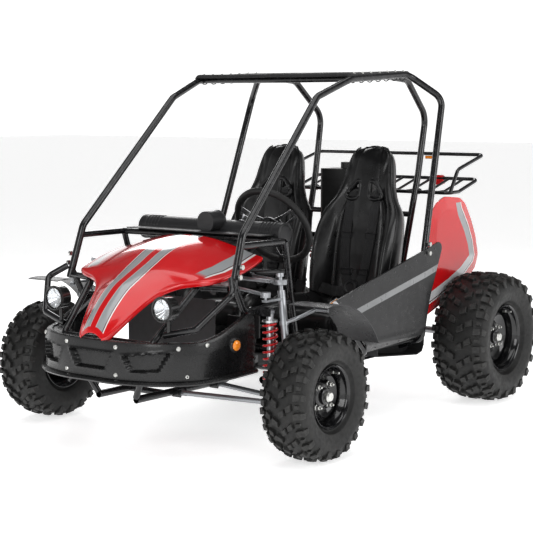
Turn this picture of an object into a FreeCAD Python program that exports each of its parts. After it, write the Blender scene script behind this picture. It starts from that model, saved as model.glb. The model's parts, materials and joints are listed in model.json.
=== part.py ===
import FreeCAD, Part
import math
import os

os.makedirs("parts", exist_ok=True)

# Two-seat off-road kart. Millimetres, +Z up, the kart faces -Y and +X is its left side.
# Everything is drawn with y = 0 at the front axle and z = 0 on the ground, then moved at
# the end so that the whole kart is centred on the origin.

# ---- driving dimensions --------------------------------------------------------------------
wheelbase = 1360.0
front_track_half = 653.0
rear_track_half = 601.0
front_tyre_radius = 237.5
front_tyre_width = 185.0
front_rim_radius = 119.0
rear_tyre_radius = 276.0
rear_tyre_width = 250.0
rear_rim_radius = 145.0
rim_well = 22.0

cage_tube_radius = 14.0
light_tube_radius = 12.0
rack_tube_radius = 8.0
tube_wall = 2.0
bend_radius = 60.0
sheet = 3.0
gap = 0.5
running_gap = 0.05

floor_rail_x = 370.0
floor_rail_z = 250.0
roof_z = 1390.0
canopy_thickness = 2.5

seat_x = 233.0
seat_width = 400.0
seat_base_z = 331.0
seat_front_y = 560.0
seat_back_foot_y = 850.0
seat_back_height = 674.0
seat_back_thickness = 70.0
seat_recline = 14.0

wheel_rim_radius = 160.0
wheel_grip_radius = 14.0
column_tilt = 30.0
column_radius = 11.0
column_length = 436.0
pinion_radius = 15.0
rack_radius = 8.0
rack_y = -60.0
rack_z = 611.0
rack_end_x = 300.0

lower_pivot_x = 120.0
lower_pivot_z = 200.0
lower_pin_radius = 8.0
upper_pivot_x = 300.0
upper_pivot_z = 632.0
upper_pin_radius = 7.0
kingpin_foot = (545.0, 0.0, 195.0)
kingpin_head = (463.0, 46.0, 625.0)
kingpin_radius = 8.0
kingpin_tube_radius = 14.0
stub_radius = 12.5
arm_pin_radius = 6.0
steer_arm_z = 566.0
cup_radius = 15.5
stud_radius = 5.0

front_shock_top = (450.0, 0.0, 518.0)
front_shock_foot = (454.0, 0.0, 216.0)
rear_shock_top = (205.0, 1225.0, 655.0)
rear_shock_foot = (205.0, 1300.0, 335.0)
shock_pin_radius = 7.0
spring_radius = 25.0
spring_wire = 4.5
damper_radius = 13.0
damper_rod_radius = 6.0

swing_pivot_y = 1000.0
swing_pivot_z = 300.0
swing_pin_radius = 10.0
swing_arm_x = 200.0
axle_radius = 15.0
axle_half_length = 668.0
rotor_radius = 85.0
rotor_x = 110.0
outlet_radius = 16.0

nose_y = -483.0
tail_y = wheelbase + rear_tyre_radius
middle_y = (nose_y + tail_y) / 2.0

V = FreeCAD.Vector
X_AXIS = V(1, 0, 0)
Y_AXIS = V(0, 1, 0)
Z_AXIS = V(0, 0, 1)

front_axle_z = front_tyre_radius
rear_axle_z = rear_tyre_radius


# ---- helpers -------------------------------------------------------------------------------
def vec(p):
    return p if isinstance(p, FreeCAD.Vector) else V(*p)


def mirrored(shape):
    return shape.mirror(V(0, 0, 0), X_AXIS)


def both(shapes):
    """The shapes and their mirror images on the other side of the kart."""
    shapes = list(shapes)
    return shapes + [mirrored(s) for s in shapes]


def box(x0, x1, y0, y1, z0, z1):
    return Part.makeBox(x1 - x0, y1 - y0, z1 - z0, V(x0, y0, z0))


def rod(p, q, radius):
    p, q = vec(p), vec(q)
    return Part.makeCylinder(radius, (q - p).Length, p, q - p)


def ring(p, q, outer, inner):
    return rod(p, q, outer).cut(rod(p, q, inner))


def cross_rod(x, y, z, half, radius, axis=Y_AXIS):
    """A round bar centred on a point and lying along an axis."""
    centre = V(x, y, z)
    return rod(centre - axis * half, centre + axis * half, radius)


def plate_xz(points, y0, y1):
    """A flat plate drawn in the x-z plane and given a thickness along y."""
    wire = Part.makePolygon([V(x, y0, z) for x, z in points + points[:1]])
    return Part.Face(wire).extrude(V(0, y1 - y0, 0))


def plate_yz(points, x0, x1):
    wire = Part.makePolygon([V(x0, y, z) for y, z in points + points[:1]])
    return Part.Face(wire).extrude(V(x1 - x0, 0, 0))


def plate_xy(points, z0, z1):
    wire = Part.makePolygon([V(x, y, z0) for x, y in points + points[:1]])
    return Part.Face(wire).extrude(V(0, 0, z1 - z0))


def spun(points, centre, axis):
    """Turn a half section, given as (distance along the axis, radius), into a solid."""
    side = Z_AXIS
    corners = [centre + axis * a + side * r for a, r in points]
    face = Part.Face(Part.makePolygon(corners + corners[:1]))
    return face.revolve(centre, axis, 360)


def round_face(p, direction, radius, hole):
    outer = Part.Wire(Part.makeCircle(radius, p, direction))
    if hole <= 0:
        return Part.Face(outer)
    inner = Part.Wire(Part.makeCircle(hole, p, direction))
    return Part.Face([outer, inner])


def tube_run(points, radius, bend=bend_radius, wall=tube_wall):
    """A bent tube: straight lengths joined by round bends, one solid for each.

    Returns the hollow pieces and, for cutting other tubes to fit, the same pieces solid.
    """
    pts = [vec(p) for p in points]
    hollow, solid = [], []
    start = pts[0]
    for i in range(1, len(pts)):
        way = (pts[i] - start).normalize()
        last = i == len(pts) - 1
        if last:
            end = pts[i]
        else:
            leave = (pts[i + 1] - pts[i]).normalize()
            turn = way.getAngle(leave)
            back = bend * math.tan(turn / 2.0)
            end = pts[i] - way * back
        for pieces, hole in ((hollow, radius - wall), (solid, 0)):
            pieces.append(round_face(start, way, radius, hole).extrude(end - start))
        if last:
            break
        axis = way.cross(leave).normalize()
        centre = end + axis.cross(way) * bend
        for pieces, hole in ((hollow, radius - wall), (solid, 0)):
            face = round_face(end, way, radius, hole)
            pieces.append(face.revolve(centre, axis, math.degrees(turn)))
        start = pts[i] + leave * back
    return hollow, solid


def biggest(shape):
    return max(shape.Solids, key=lambda s: s.Volume)


def cut_back(piece, tool):
    """Cut one piece. A cut that changed nothing is tried again on the mirror images."""
    after = piece.cut(tool)
    if abs(after.Volume - piece.Volume) < 0.5:
        second = mirrored(piece).cut(mirrored(tool))
        if abs(second.Volume - piece.Volume) >= 0.5:
            after = mirrored(second)
    return after


def trimmed(pieces, tools):
    """Cut every piece back where it meets the tools and keep the main part of it."""
    kept = []
    for piece in pieces:
        for tool in tools:
            if piece.BoundBox.intersect(tool.BoundBox):
                piece = cut_back(piece, tool)
        if piece.Solids:
            kept.append(biggest(piece))
    return kept


def joined(first, *rest):
    """One solid from several, with needless seams taken out where that keeps it sound."""
    if not rest:
        return first
    fused = first.fuse(list(rest))
    clean = fused.removeSplitter()
    return clean if clean.isValid() else fused


class Frame:
    """The left half of a welded frame. Each tube is cut to fit the tubes laid before it."""

    def __init__(self, hosts=()):
        self.hollow = []
        self.solid = list(hosts)

    def add(self, points, radius, bend=bend_radius):
        hollow, solid = tube_run(points, radius, bend)
        self.hollow += trimmed(hollow, self.solid)
        self.solid += solid

    def add_plates(self, plates):
        self.hollow += trimmed(plates, self.solid)

    def whole(self):
        return both(self.hollow)


nodes = {}


def keep(name, shapes):
    shapes = shapes if isinstance(shapes, (list, tuple)) else [shapes]
    solids = [s for shape in shapes for s in shape.Solids]
    nodes[name] = solids


def keep_pair(name, shapes):
    keep(name + "_left", shapes)
    keep(name + "_right", [mirrored(s) for s in shapes])


# ---- floor frame and seat stand ------------------------------------------------------------
floor_rail_back = 1120.0
floor_cross_front = 300.0
frame = Frame()
frame.add([(floor_rail_x, 60, floor_rail_z), (floor_rail_x, floor_rail_back, floor_rail_z)],
          cage_tube_radius)
for cross_y in (floor_cross_front, 620.0, 860.0, floor_rail_back - 26):
    frame.add([(0, cross_y, floor_rail_z), (floor_rail_x, cross_y, floor_rail_z)],
              cage_tube_radius)
swing_ear = [(swing_pivot_y - 30, floor_rail_z - 12), (swing_pivot_y + 90, floor_rail_z - 12),
             (swing_pivot_y + 20, swing_pivot_z + 22), (swing_pivot_y - 20, swing_pivot_z + 22)]
ear_x = 236.0
swing_hole = cross_rod(0, swing_pivot_y, swing_pivot_z, ear_x + 10, swing_pin_radius, X_AXIS)
frame.add_plates([plate_yz(swing_ear, ear_x, ear_x + 5).cut(swing_hole)])
ear_bar_z = floor_rail_z
frame.add([(ear_x + 5, swing_pivot_y, ear_bar_z), (floor_rail_x, swing_pivot_y, ear_bar_z)],
          light_tube_radius)
stand_top = seat_base_z - gap
stand_bars = []
for stand_y in (640.0, 900.0):
    stand_bars.append(box(0, 440, stand_y - 15, stand_y + 15, stand_top - 25, stand_top))
    stand_bars.append(box(floor_rail_x - 12, floor_rail_x + 12, stand_y - 12, stand_y + 12,
                          floor_rail_z + 5, stand_top - 25))
frame.add_plates(stand_bars)
floor_frame = frame
swing_bolt = cross_rod(0, swing_pivot_y, swing_pivot_z, ear_x + 14, swing_pin_radius, X_AXIS)
keep("floor_frame", floor_frame.whole() + [swing_bolt])

# ---- front frame: lower rails, upper rails, knee tubes, shock towers -----------------------
lower_rail_x = 92.0
upper_rail_x = 262.0
upper_rail_z = 640.0
frame = Frame(floor_frame.solid)
frame.add([(lower_rail_x, floor_cross_front, floor_rail_z), (lower_rail_x, 190, 200),
           (lower_rail_x, -330, 204)], cage_tube_radius)
for cross_y in (-160.0, 160.0):
    frame.add([(0, cross_y, 201), (lower_rail_x, cross_y, 201)], light_tube_radius)
knee_top = (400.0, 160.0, 760.0)
knee_foot = (floor_rail_x, 300.0, floor_rail_z)
frame.add([knee_foot, knee_top], light_tube_radius)
frame.add([(0, knee_top[1], knee_top[2]), knee_top], light_tube_radius)
frame.add([(384, 197, upper_rail_z), (upper_rail_x, 120, upper_rail_z),
           (upper_rail_x, -150, upper_rail_z), (215, -385, 425), (lower_rail_x, -330, 212)],
          light_tube_radius, bend=40)
frame.add([(0, -374, 422), (203, -376, 422)], light_tube_radius - 1)
frame.add([(398, -150, 640), (396, -84, 524), (396, 0, 524), (378, 222, 530)],
          light_tube_radius, bend=30)
# brackets that hold the arm pivot pins, with the pins themselves
pin_gap = 1.0
lower_sleeves = ((-125.0, -97.0), (97.0, 125.0))
upper_sleeves = ((-2.0, 18.0), (74.0, 94.0))
ears = []
for sleeves, pivot_x, pivot_z, back_x, half in (
        (lower_sleeves, lower_pivot_x, lower_pivot_z, lower_rail_x, 15),
        (upper_sleeves, upper_pivot_x, upper_pivot_z, upper_rail_x, 13)):
    for y0, y1 in sleeves:
        for a, b in ((y0 - pin_gap - 4, y0 - pin_gap), (y1 + pin_gap, y1 + pin_gap + 4)):
            ears.append(box(back_x, pivot_x + half, a, b, pivot_z - half, pivot_z + half))
pins = []
for sleeves, pivot_x, pivot_z, radius in (
        (lower_sleeves, lower_pivot_x, lower_pivot_z, lower_pin_radius),
        (upper_sleeves, upper_pivot_x, upper_pivot_z, upper_pin_radius)):
    for y0, y1 in sleeves:
        pins.append(rod((pivot_x, y0 - 9, pivot_z), (pivot_x, y1 + 9, pivot_z), radius))
frame.add_plates([e.cut(Part.makeCompound(pins)) for e in ears])
tower = []
for a, b in ((-19.0, -14.5), (14.5, 19.0)):
    tower.append(box(396, front_shock_top[0] + 14, a, b, front_shock_top[2] - 14,
                     front_shock_top[2] + 14))
shock_pin = cross_rod(front_shock_top[0], 0, front_shock_top[2], 22, shock_pin_radius)
frame.add_plates([t.cut(shock_pin) for t in tower])
# bearing block for the column and guides for the steering rack, on the upper rails
column_way = V(0, math.cos(math.radians(column_tilt)), math.sin(math.radians(column_tilt)))
wheel_centre = V(seat_x, 315, 800)


def on_column(t):
    """The point a distance t down the steering column from the wheel's centre."""
    return wheel_centre - column_way * t


block = ring(on_column(395), on_column(365), 17, column_radius + running_gap)
block_arm = box(seat_x - 4, upper_rail_x, -25, -5, upper_rail_z - 8, upper_rail_z + 8)
block_arm = block_arm.cut(rod(on_column(400), on_column(300), 16.9))
guide_x = 190.0
guide_spot = V(guide_x, rack_y, rack_z)
guide = ring(guide_spot - X_AXIS * 14, guide_spot + X_AXIS * 14, 14, rack_radius + running_gap)
guide_arm = box(guide_x, upper_rail_x, rack_y - 5, rack_y + 5, upper_rail_z - 8, upper_rail_z + 2)
guide_arm = guide_arm.cut(rod(guide_spot - X_AXIS * 14, guide_spot + X_AXIS * 14, 14))
frame.add_plates([guide, guide_arm])
pedal_y = 110.0
pedal_z = 318.0
pedal_pins = []
for pedal_x in (185.0, 285.0):
    for a in (pedal_x - 19, pedal_x + 15):
        pedal_pins.append(box(a, a + 4, pedal_y - 12, pedal_y + 12, 293.5, pedal_z + 11))
front_frame = frame
pedal_hole = cross_rod(235, pedal_y, pedal_z, 80, 5, X_AXIS)
one_side = trimmed([block, block_arm], front_frame.solid)
one_side += [p.cut(pedal_hole) for p in pedal_pins]
one_side += [cross_rod(x, pedal_y, pedal_z, 20, 5, X_AXIS) for x in (185.0, 285.0)]
keep("front_frame", front_frame.whole() + both(pins + [shock_pin]) + one_side)

# ---- roll cage: front pillars, roof rails and main hoops -----------------------------------
pillar_foot = (399.0, -157.0, 600.0)
frame = Frame(front_frame.solid)
frame.add([pillar_foot, (391, -88, 800), (360, 425, 1296), (384, 620, roof_z - 24),
           (385, 1050, roof_z), (497, 1146, 1290), (541, 933, 640)], cage_tube_radius)
frame.add([(0, 985, roof_z - 5), (383, 985, roof_z - 4)], cage_tube_radius - 1)
frame.add([(0, 655, roof_z - 24), (381, 655, roof_z - 23)], light_tube_radius)
frame.add([(400, -165, 648), (452, -222, 606), (368, -322, 486), (242, -347, 455.8)],
          light_tube_radius, bend=30)
frame.add([(392, -95, 762), (399.6, 147.4, 760)], light_tube_radius)
frame.add([(382, -157, 612), (274.2, -178.6, 612)], light_tube_radius)
roll_cage = frame
keep("roll_cage", roll_cage.whole())

# ---- rear frame: inner tubes behind the seats and their cross tubes ------------------------
frame = Frame(roll_cage.solid)
frame.add([(296, 999.3, roof_z - 4), (293, 1200, roof_z - 20), (277, 1385, 1215), (272, 1335, 960),
           (262, 1225, 560), (floor_rail_x, 1096, floor_rail_z)], cage_tube_radius, bend=80)
for cross_y, cross_z in ((1288.0, 789.0), (1256.0, 678.0)):
    frame.add([(0, cross_y, cross_z), (261, cross_y, cross_z)], light_tube_radius)
frame.add_plates([box(0, 118, 1132, 1262, 690, 694)])
rear_ears = []
for a, b in ((-19.0, -14.5), (14.5, 19.0)):
    x = rear_shock_top[0]
    rear_ears.append(box(x + a, x + b, rear_shock_top[1] - 14, rear_shock_top[1] + 30, 640, 684))
rear_pin = cross_rod(rear_shock_top[0], rear_shock_top[1], rear_shock_top[2], 22,
                     shock_pin_radius, X_AXIS)
frame.add_plates([e.cut(rear_pin) for e in rear_ears])
rear_frame = frame
keep("rear_frame", rear_frame.whole() + both([rear_pin]))

# ---- side guards: the hoops outside the seats ----------------------------------------------
frame = Frame(rear_frame.solid)
frame.add([(floor_rail_x, 600, floor_rail_z), (503, 565, 300), (503, 338, 505),
           (537, 953, 656), (506, 990, 300), (floor_rail_x, 990, floor_rail_z)],
          light_tube_radius, bend=40)
side_guards = frame
keep("side_guards", side_guards.whole())

# ---- bolts that show on the cage -----------------------------------------------------------
bolts = []
for x, y, z in ((418, -140, 655), (418, -128, 690), (560, 945, 700), (564, 938, 664)):
    head = V(x, y, z)
    bolts.append(rod(head, head + X_AXIS * 8, 9))
bolts = trimmed(bolts, roll_cage.solid + side_guards.solid)
keep("frame_bolts", both(bolts))

# ---- floor pan, footwell and belly boxes ---------------------------------------------------
pan_top = floor_rail_z - cage_tube_radius - gap
pan = [box(-384, 384, floor_cross_front + 16, 985, pan_top - sheet, pan_top)]
foot_top = 293.0
foot = box(-330, 330, -25, floor_cross_front + 16, foot_top - sheet, foot_top)
wall_points = [(-215, foot_top), (215, foot_top), (215, 545), (-215, 545)]
fire_wall = plate_xz(wall_points, -25, -25 + sheet)
riser = box(-330, 330, floor_cross_front + 16, floor_cross_front + 16 + sheet, pan_top, foot_top)
outline = [(700, 292), (700, 258), (1010, 226), (1052, 236), (1066, 262), (1070, 325),
           (1000, 330), (1000, 292)]
core = [(704, 288), (704, 262), (1010, 230), (1049, 239), (1062, 263), (1066, 321),
        (1004, 326), (1004, 288)]
belly = plate_yz(outline, 395, 470).cut(plate_yz(core, 399, 471))
belly = trimmed([belly], side_guards.solid + floor_frame.solid)
everything = front_frame.solid + [mirrored(s) for s in front_frame.solid]
floor_parts = trimmed(pan + [joined(foot, fire_wall, riser)], everything)
keep("floor_pan", floor_parts + both(belly))

# ---- canopy --------------------------------------------------------------------------------
canopy_low = roof_z + cage_tube_radius + 1.0
front_low = roof_z - 24 + cage_tube_radius + 1.5
canopy_line = [(596, front_low), (620, front_low), (1040, canopy_low), (1075, canopy_low - 4)]
canopy_top = [(y, z + canopy_thickness) for y, z in reversed(canopy_line)]
canopy = plate_yz(canopy_line + canopy_top, -378, 378)
keep("canopy", canopy)

# ---- hood: a thin shell lofted through cross sections --------------------------------------
hood_sections = [  # y, half width, height at the centre, at mid width and at the edge
    (nose_y + 18, 52, 459, 457, 440), (-452, 70, 484, 480, 446), (-404, 96, 544, 537, 490),
    (-330, 128, 609, 600, 552), (-270, 158, 641, 632, 592), (-222, 218, 664, 655, 622),
    (-180, 318, 684, 676, 638), (-100, 352, 724, 714, 654), (0, 364, 754, 744, 680),
    (92, 352, 772, 762, 704)]


def hood_wire(y, half, centre, middle, edge):
    """A closed cross section of the hood: its outer line and the same line one sheet lower."""
    lip = 7.0
    line = [(-half, edge - lip), (-half, edge), (-half * 0.62, (middle + edge) / 2 + 8),
            (-half * 0.3, middle), (0, centre), (half * 0.3, middle),
            (half * 0.62, (middle + edge) / 2 + 8), (half, edge), (half, edge - lip)]
    inner = [(x * (1 - 2 * sheet / half), z - (0 if z == edge - lip else sheet))
             for x, z in reversed(line)]
    return Part.makePolygon([V(x, y, z) for x, z in line + inner + line[:1]])


hood = Part.makeLoft([hood_wire(*s) for s in hood_sections], True, True)
keep("hood", hood)

# ---- front fascia, with its skid lip, and the mesh behind its openings ---------------------
fascia_plan = [(0, -478), (130, -472), (262, -425), (348, -338), (394, -215), (408, -40)]


def band(plan, thickness, z0, z1):
    """A wall that follows one side's plan line and its mirror image."""
    outer = plan[::-1] + [(-x, y) for x, y in plan[1:]]
    mid = (0.0, -150.0)
    shrink = []
    for x, y in outer[::-1]:
        away = math.hypot(x - mid[0], y - mid[1])
        shrink.append((x - (x - mid[0]) * thickness / away, y - (y - mid[1]) * thickness / away))
    return plate_xy(outer + shrink, z0, z1)


fascia_side = [(-520, 286), (-300, 286), (-200, 278), (-20, 300), (-20, 540), (-70, 520),
               (-190, 462), (-345, 452), (-520, 440)]
fascia = band(fascia_plan, 5.0, 270, 560).common(plate_yz(fascia_side, -500, 500))
lip_plan = [(x * 1.015, y - 5) for x, y in fascia_plan[:4]]
lip = band(lip_plan, 24.0, 282, 298)
shelf_plan = [(0, -470), (130, -465), (258, -420), (342, -336), (342, -300), (-342, -300),
              (-342, -336), (-258, -420), (-130, -465)]
shelf = plate_xy(shelf_plan, 425, 429)
front_tubes = front_frame.solid + roll_cage.solid
front_tubes = front_tubes + [mirrored(s) for s in front_tubes]
shelf = trimmed([shelf], front_tubes)[0]
fascia = joined(fascia, lip, shelf)
centre_grille = [(-75, 392), (75, 392), (58, 345), (-58, 345)]
side_grille = [(118, 388), (262, 398), (238, 342), (138, 338)]
cutters = [plate_xz(centre_grille, -500, -440), plate_xz(side_grille, -500, -390)]
cutters.append(mirrored(cutters[1]))
for tool in cutters:
    fascia = fascia.cut(tool)
fascia = trimmed([fascia], front_tubes)[0]
keep("fascia", fascia)
mesh_pieces = []
for points, y in ((centre_grille, -466), (side_grille, -418)):
    grown = [(x * 1.0, z) for x, z in points]
    mesh_pieces.append(plate_xz(grown, y, y + 2))
side_mesh = mesh_pieces[1]
side_mesh.rotate(V(190, -418, 365), Z_AXIS, 19)
grille = [mesh_pieces[0], side_mesh, mirrored(side_mesh)]
grille = [g.cut(fascia) for g in grille]
keep("grilles", [biggest(g) for g in grille])

# ---- lamps and reflectors ------------------------------------------------------------------
lamp_x = 262.0
lamp_z = 553.0
lamp_front_y = -385.0
can = spun([(0, 0), (0, 20), (-14, 43), (-62, 46), (-62, 42), (-16, 38), (-5, 16), (-5, 0)],
           V(lamp_x, lamp_front_y + 62, lamp_z), Y_AXIS)
lamp_post = rod((lamp_x, lamp_front_y + 40, 429 + gap), (lamp_x, lamp_front_y + 40, lamp_z - 36), 8)
lamp = joined(can, lamp_post)
lamp = lamp.cut(rod((lamp_x, lamp_front_y + 5, lamp_z), (lamp_x, lamp_front_y + 44, lamp_z), 37))
lamp = trimmed([lamp], front_frame.solid + roll_cage.solid)
keep("headlight_cans", both(lamp))
glass = rod((lamp_x, lamp_front_y + 2, lamp_z), (lamp_x, lamp_front_y + 8, lamp_z), 36.5)
keep("headlight_lenses", both([glass]))
marker = rod((410.5, -150, 412), (422, -150, 412), 14)
marker.rotate(V(408, -150, 412), Z_AXIS, -4)
side_reflector = box(508, 513, 296, 346, 516, 530)
side_reflector.rotate(V(508, 320, 520), X_AXIS, 16)
side_reflector = trimmed([side_reflector], side_guards.solid)[0]
rack_reflector = box(150, 215, 1604, 1609, 1020, 1034)
keep("amber_reflectors", both([marker, side_reflector, rack_reflector]))
tail = rod((232, 1585, 925), (232, 1612, 925), 24)
keep("tail_lights", both([tail]))

# ---- dash and gauge ------------------------------------------------------------------------
dash_y = 236.0
dash_z = 776.0
dash_radius = 46.0
dash_half = 350.0
dash = cross_rod(0, dash_y, dash_z, dash_half, dash_radius, X_AXIS)
hollow = cross_rod(0, dash_y, dash_z, dash_half - 4, dash_radius - 4, X_AXIS)
deck = box(-332, 332, 100, dash_y, 779, 783)
dash = joined(dash, deck).cut(hollow)
dash = dash.cut(rod(on_column(250), on_column(20), column_radius + 9))
keep("dash", biggest(dash))
pod = cross_rod(40, 172, 818, 36, 40, Y_AXIS)
pod = pod.cut(box(-20, 100, 100, 240, 740, 783 + gap))
pod = pod.cut(cross_rod(0, dash_y, dash_z, dash_half, dash_radius + gap, X_AXIS))
keep("gauge_pod", biggest(pod))

# ---- side panels and rear side panels ------------------------------------------------------
def side_skin(plan, outline, thickness=sheet):
    """A panel that follows a line in plan and is cut to an outline seen from the side."""
    inner = [(x - thickness, y) for x, y in reversed(plan)]
    return plate_xy(plan + inner, 150, 1000).common(plate_yz(outline, 300, 700))


side_plan = [(522, 290), (558, 930), (558, 1075)]
side_outline = [(292, 512), (318, 530), (1030, 704), (1050, 690), (1052, 672), (960, 480),
                (925, 350), (880, 326), (560, 300), (500, 355)]
keep("side_panels", both([side_skin(side_plan, side_outline)]))
rear_plan = [(467, 1040), (467, 1600)]
rear_outline = [(1178, 853), (1245, 875), (1375, 864), (1422, 838), (1515, 695), (1546, 604),
                (1520, 548), (1415, 483), (1190, 407), (1050, 366), (1058, 450), (1098, 640),
                (1102, 720), (1118, 806)]
keep("rear_panels", both([side_skin(rear_plan, rear_outline)]))

# ---- seats and belts -----------------------------------------------------------------------
back_foot = V(0, seat_back_foot_y, seat_base_z + 110)


def laid_back(shape):
    """Stand a shape drawn upright at the origin on the seat's foot and lean it back."""
    shape.rotate(V(0, 0, 0), X_AXIS, -seat_recline)
    shape.translate(back_foot)
    return shape


def seat_shape():
    half = seat_width / 2.0
    top = seat_back_height
    left = [(half - 12, -60), (half, 230), (half - 14, 400), (half - 70, 480), (half - 88, 560),
            (half - 108, top - 20), (half - 130, top)]
    outline = left + [(-x, z) for x, z in reversed(left)]
    back = plate_xz(outline, 0, seat_back_thickness)
    wing = [(0, -60), (-62, 30), (-70, 230), (-48, 380), (0, 440)]
    for side in (-1, 1):
        x0, x1 = sorted((side * (half - 60), side * (half - 14)))
        back = back.fuse(plate_yz(wing + [(30, 440), (30, -60)], x0, x1))
    slot = [(26, 468), (26, 530), (44, 522), (84, 478), (78, 462)]
    for side in (-1, 1):
        points = [(side * x, z) for x, z in slot]
        back = back.cut(plate_xz(points, -5, seat_back_thickness + 5))
    back = laid_back(back)
    base = seat_base_z
    cushion = plate_yz([(seat_front_y, base + 104), (seat_front_y - 12, base + 70),
                        (seat_front_y + 10, base), (930, base), (950, base + 90),
                        (seat_back_foot_y + 30, base + 78)], -half + 4, half - 4)
    shape = back.fuse(cushion)
    for side in (-1, 1):
        x0, x1 = sorted((side * (half - 58), side * (half - 4)))
        roll = plate_yz([(seat_front_y + 10, base + 60), (seat_front_y + 20, base + 128),
                         (860, base + 150), (900, base + 60)], x0, x1)
        shape = shape.fuse(roll)
    return biggest(shape.removeSplitter())


seat = seat_shape()
for name, side in (("seat_left", 1), ("seat_right", -1)):
    placed = seat.copy()
    placed.translate(V(side * seat_x, 0, 0))
    keep(name, placed)
strap_gap = 1.0
straps = []
for side in (-1, 1):
    x = side * 55.0
    straps.append(laid_back(box(x - 22, x + 22, -strap_gap - 2.5, -strap_gap, 60, 455)))
buckle = laid_back(box(-28, 28, -strap_gap - 24, -strap_gap - 6, 40, 84))
belts = []
for side in (-1, 1):
    for item in straps + [buckle]:
        copy = item.copy()
        copy.translate(V(side * seat_x, 0, 0))
        belts.append(copy)
keep("harness_belts", belts)

# ---- fuel tank and its cap -----------------------------------------------------------------
cap_radius = 31.0
neck_radius = 24.0
tank = box(-115, 115, 1132, 1262, 694 + gap, 985)
tank = tank.makeFillet(22, [e for e in tank.Edges if abs(e.tangentAt(0).z) > 0.9])
inside = box(-111, 111, 1136, 1258, 698 + gap, 981)
neck = ring((0, 1190, 981), (0, 1190, 1006), neck_radius, neck_radius - 4)
tank = joined(tank.cut(inside), neck)
tank = tank.cut(rod((0, 1190, 975), (0, 1190, 1010), neck_radius - 4))
keep("fuel_tank", biggest(tank))
cap = ring((0, 1190, 987), (0, 1190, 1008 + gap), cap_radius, neck_radius + running_gap)
cap = joined(cap, rod((0, 1190, 1006 + gap), (0, 1190, 1014), cap_radius))
keep("fuel_cap", cap)

# ---- rear rack -----------------------------------------------------------------------------
rack_tubes = Frame(rear_frame.solid)
tray_half = 428.0
rack_tubes.add([(0, 1336, 885), (tray_half, 1336, 885), (tray_half, 1420, 887),
                (tray_half, 1592, 934), (0, 1592, 934)], rack_tube_radius, bend=30)
for bar_x in (45.0, 120.0, 195.0, 285.0, 358.0):
    rack_tubes.add([(bar_x, 1336, 885), (bar_x, 1420, 887), (bar_x, 1592, 934)],
                   rack_tube_radius - 2, bend=60)
rack_tubes.add([(tray_half, 1345, 886), (tray_half + 14, 1385, 985), (tray_half + 16, 1610, 1043),
                (0, 1616, 1043)], rack_tube_radius, bend=26)
for post_x in (95.0, 300.0):
    rack_tubes.add([(post_x, 1592, 934), (post_x, 1615, 1036)], rack_tube_radius - 2)
rack_tubes.add([(tray_half - 1, 1572, 929), (tray_half + 15, 1570, 1030)], rack_tube_radius - 2)
rack_tubes.add([(272, 1352, 895), (272, 1338, 880)], rack_tube_radius + 1)
rack_pieces = trimmed(rack_tubes.hollow, [tail, rack_reflector])
keep("rear_rack", both(rack_pieces))


# ---- springs and dampers -------------------------------------------------------------------
def shock_parts(foot, top, pin_axis, eye_half=13.0, bush=3.0):
    """The damper body, its rod and the spring of one shock absorber."""
    foot, top = vec(foot), vec(top)
    way = (top - foot).normalize()
    length = (top - foot).Length
    upper_eye = rod(top - pin_axis * eye_half, top + pin_axis * eye_half, 13)
    barrel = rod(top, top - way * (length * 0.55), damper_radius)
    seat_disc = rod(top - way * 28, top - way * 36, spring_radius + 4)
    bore = rod(top - way * 40, top - way * (length * 0.55 + 1), damper_rod_radius + running_gap)
    body = joined(upper_eye, barrel, seat_disc)
    body = body.cut(rod(top - pin_axis * 20, top + pin_axis * 20, shock_pin_radius)).cut(bore)
    lower_eye = rod(foot - pin_axis * (eye_half - 2), foot + pin_axis * (eye_half - 2), 15)
    stem = rod(foot, foot + way * (length * 0.62), damper_rod_radius)
    plate = rod(foot + way * 30, foot + way * 38, spring_radius + 4)
    boss = rod(foot, foot + way * 34, 11)
    lower = joined(lower_eye, stem, plate, boss)
    lower = lower.cut(rod(foot - pin_axis * 20, foot + pin_axis * 20, shock_pin_radius + bush))
    coil_foot = foot + way * (38 + gap + spring_wire)
    coil_height = length - 36 - 38 - 2 * (gap + spring_wire)
    helix = Part.makeHelix(coil_height / 9.0, coil_height, spring_radius)
    start = V(spring_radius, 0, 0)
    profile = Part.Wire(Part.makeCircle(spring_wire, start, V(0, 1, 0.25)))
    coil = Part.Wire(helix.Edges).makePipeShell([profile], True, True)
    coil.Placement = FreeCAD.Placement(coil_foot, FreeCAD.Rotation(Z_AXIS, way))
    return biggest(body), biggest(lower), coil


front_body, front_rod, front_spring = shock_parts(front_shock_foot, front_shock_top, Y_AXIS)
rear_body, rear_rod, rear_spring = shock_parts(rear_shock_foot, rear_shock_top, X_AXIS)
keep("damper_bodies", both([front_body, rear_body]))
keep_pair("front_damper_rod", [front_rod])
keep_pair("front_spring", [front_spring])
keep("rear_damper_rods", both([rear_rod]))
keep("rear_springs", both([rear_spring]))

# ---- steering wheel, column, rack and tie rods ---------------------------------------------
rim_ring = Part.makeTorus(wheel_rim_radius, wheel_grip_radius, V(0, 0, 0), Z_AXIS)
hub = Part.makeCylinder(34, 12, V(0, 0, -18), Z_AXIS)
pad = Part.makeCylinder(46, 22, V(0, 0, -6), Z_AXIS)
spokes = []
for turn in (0, 120, 240):
    arm = Part.makeBox(46, wheel_rim_radius - 4, 4, V(-23, 0, -14))
    arm = arm.cut(Part.makeCylinder(11, 10, V(0, 96, -18), Z_AXIS))
    arm.rotate(V(0, 0, 0), Z_AXIS, turn + 180)
    spokes.append(arm)
steering_wheel = joined(rim_ring, hub, pad, *spokes)
boss_hole = Part.makeCylinder(column_radius + running_gap, 20, V(0, 0, -24), Z_AXIS)
steering_wheel = steering_wheel.cut(boss_hole)
steering_wheel.Placement = FreeCAD.Placement(wheel_centre, FreeCAD.Rotation(Z_AXIS, column_way))
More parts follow.
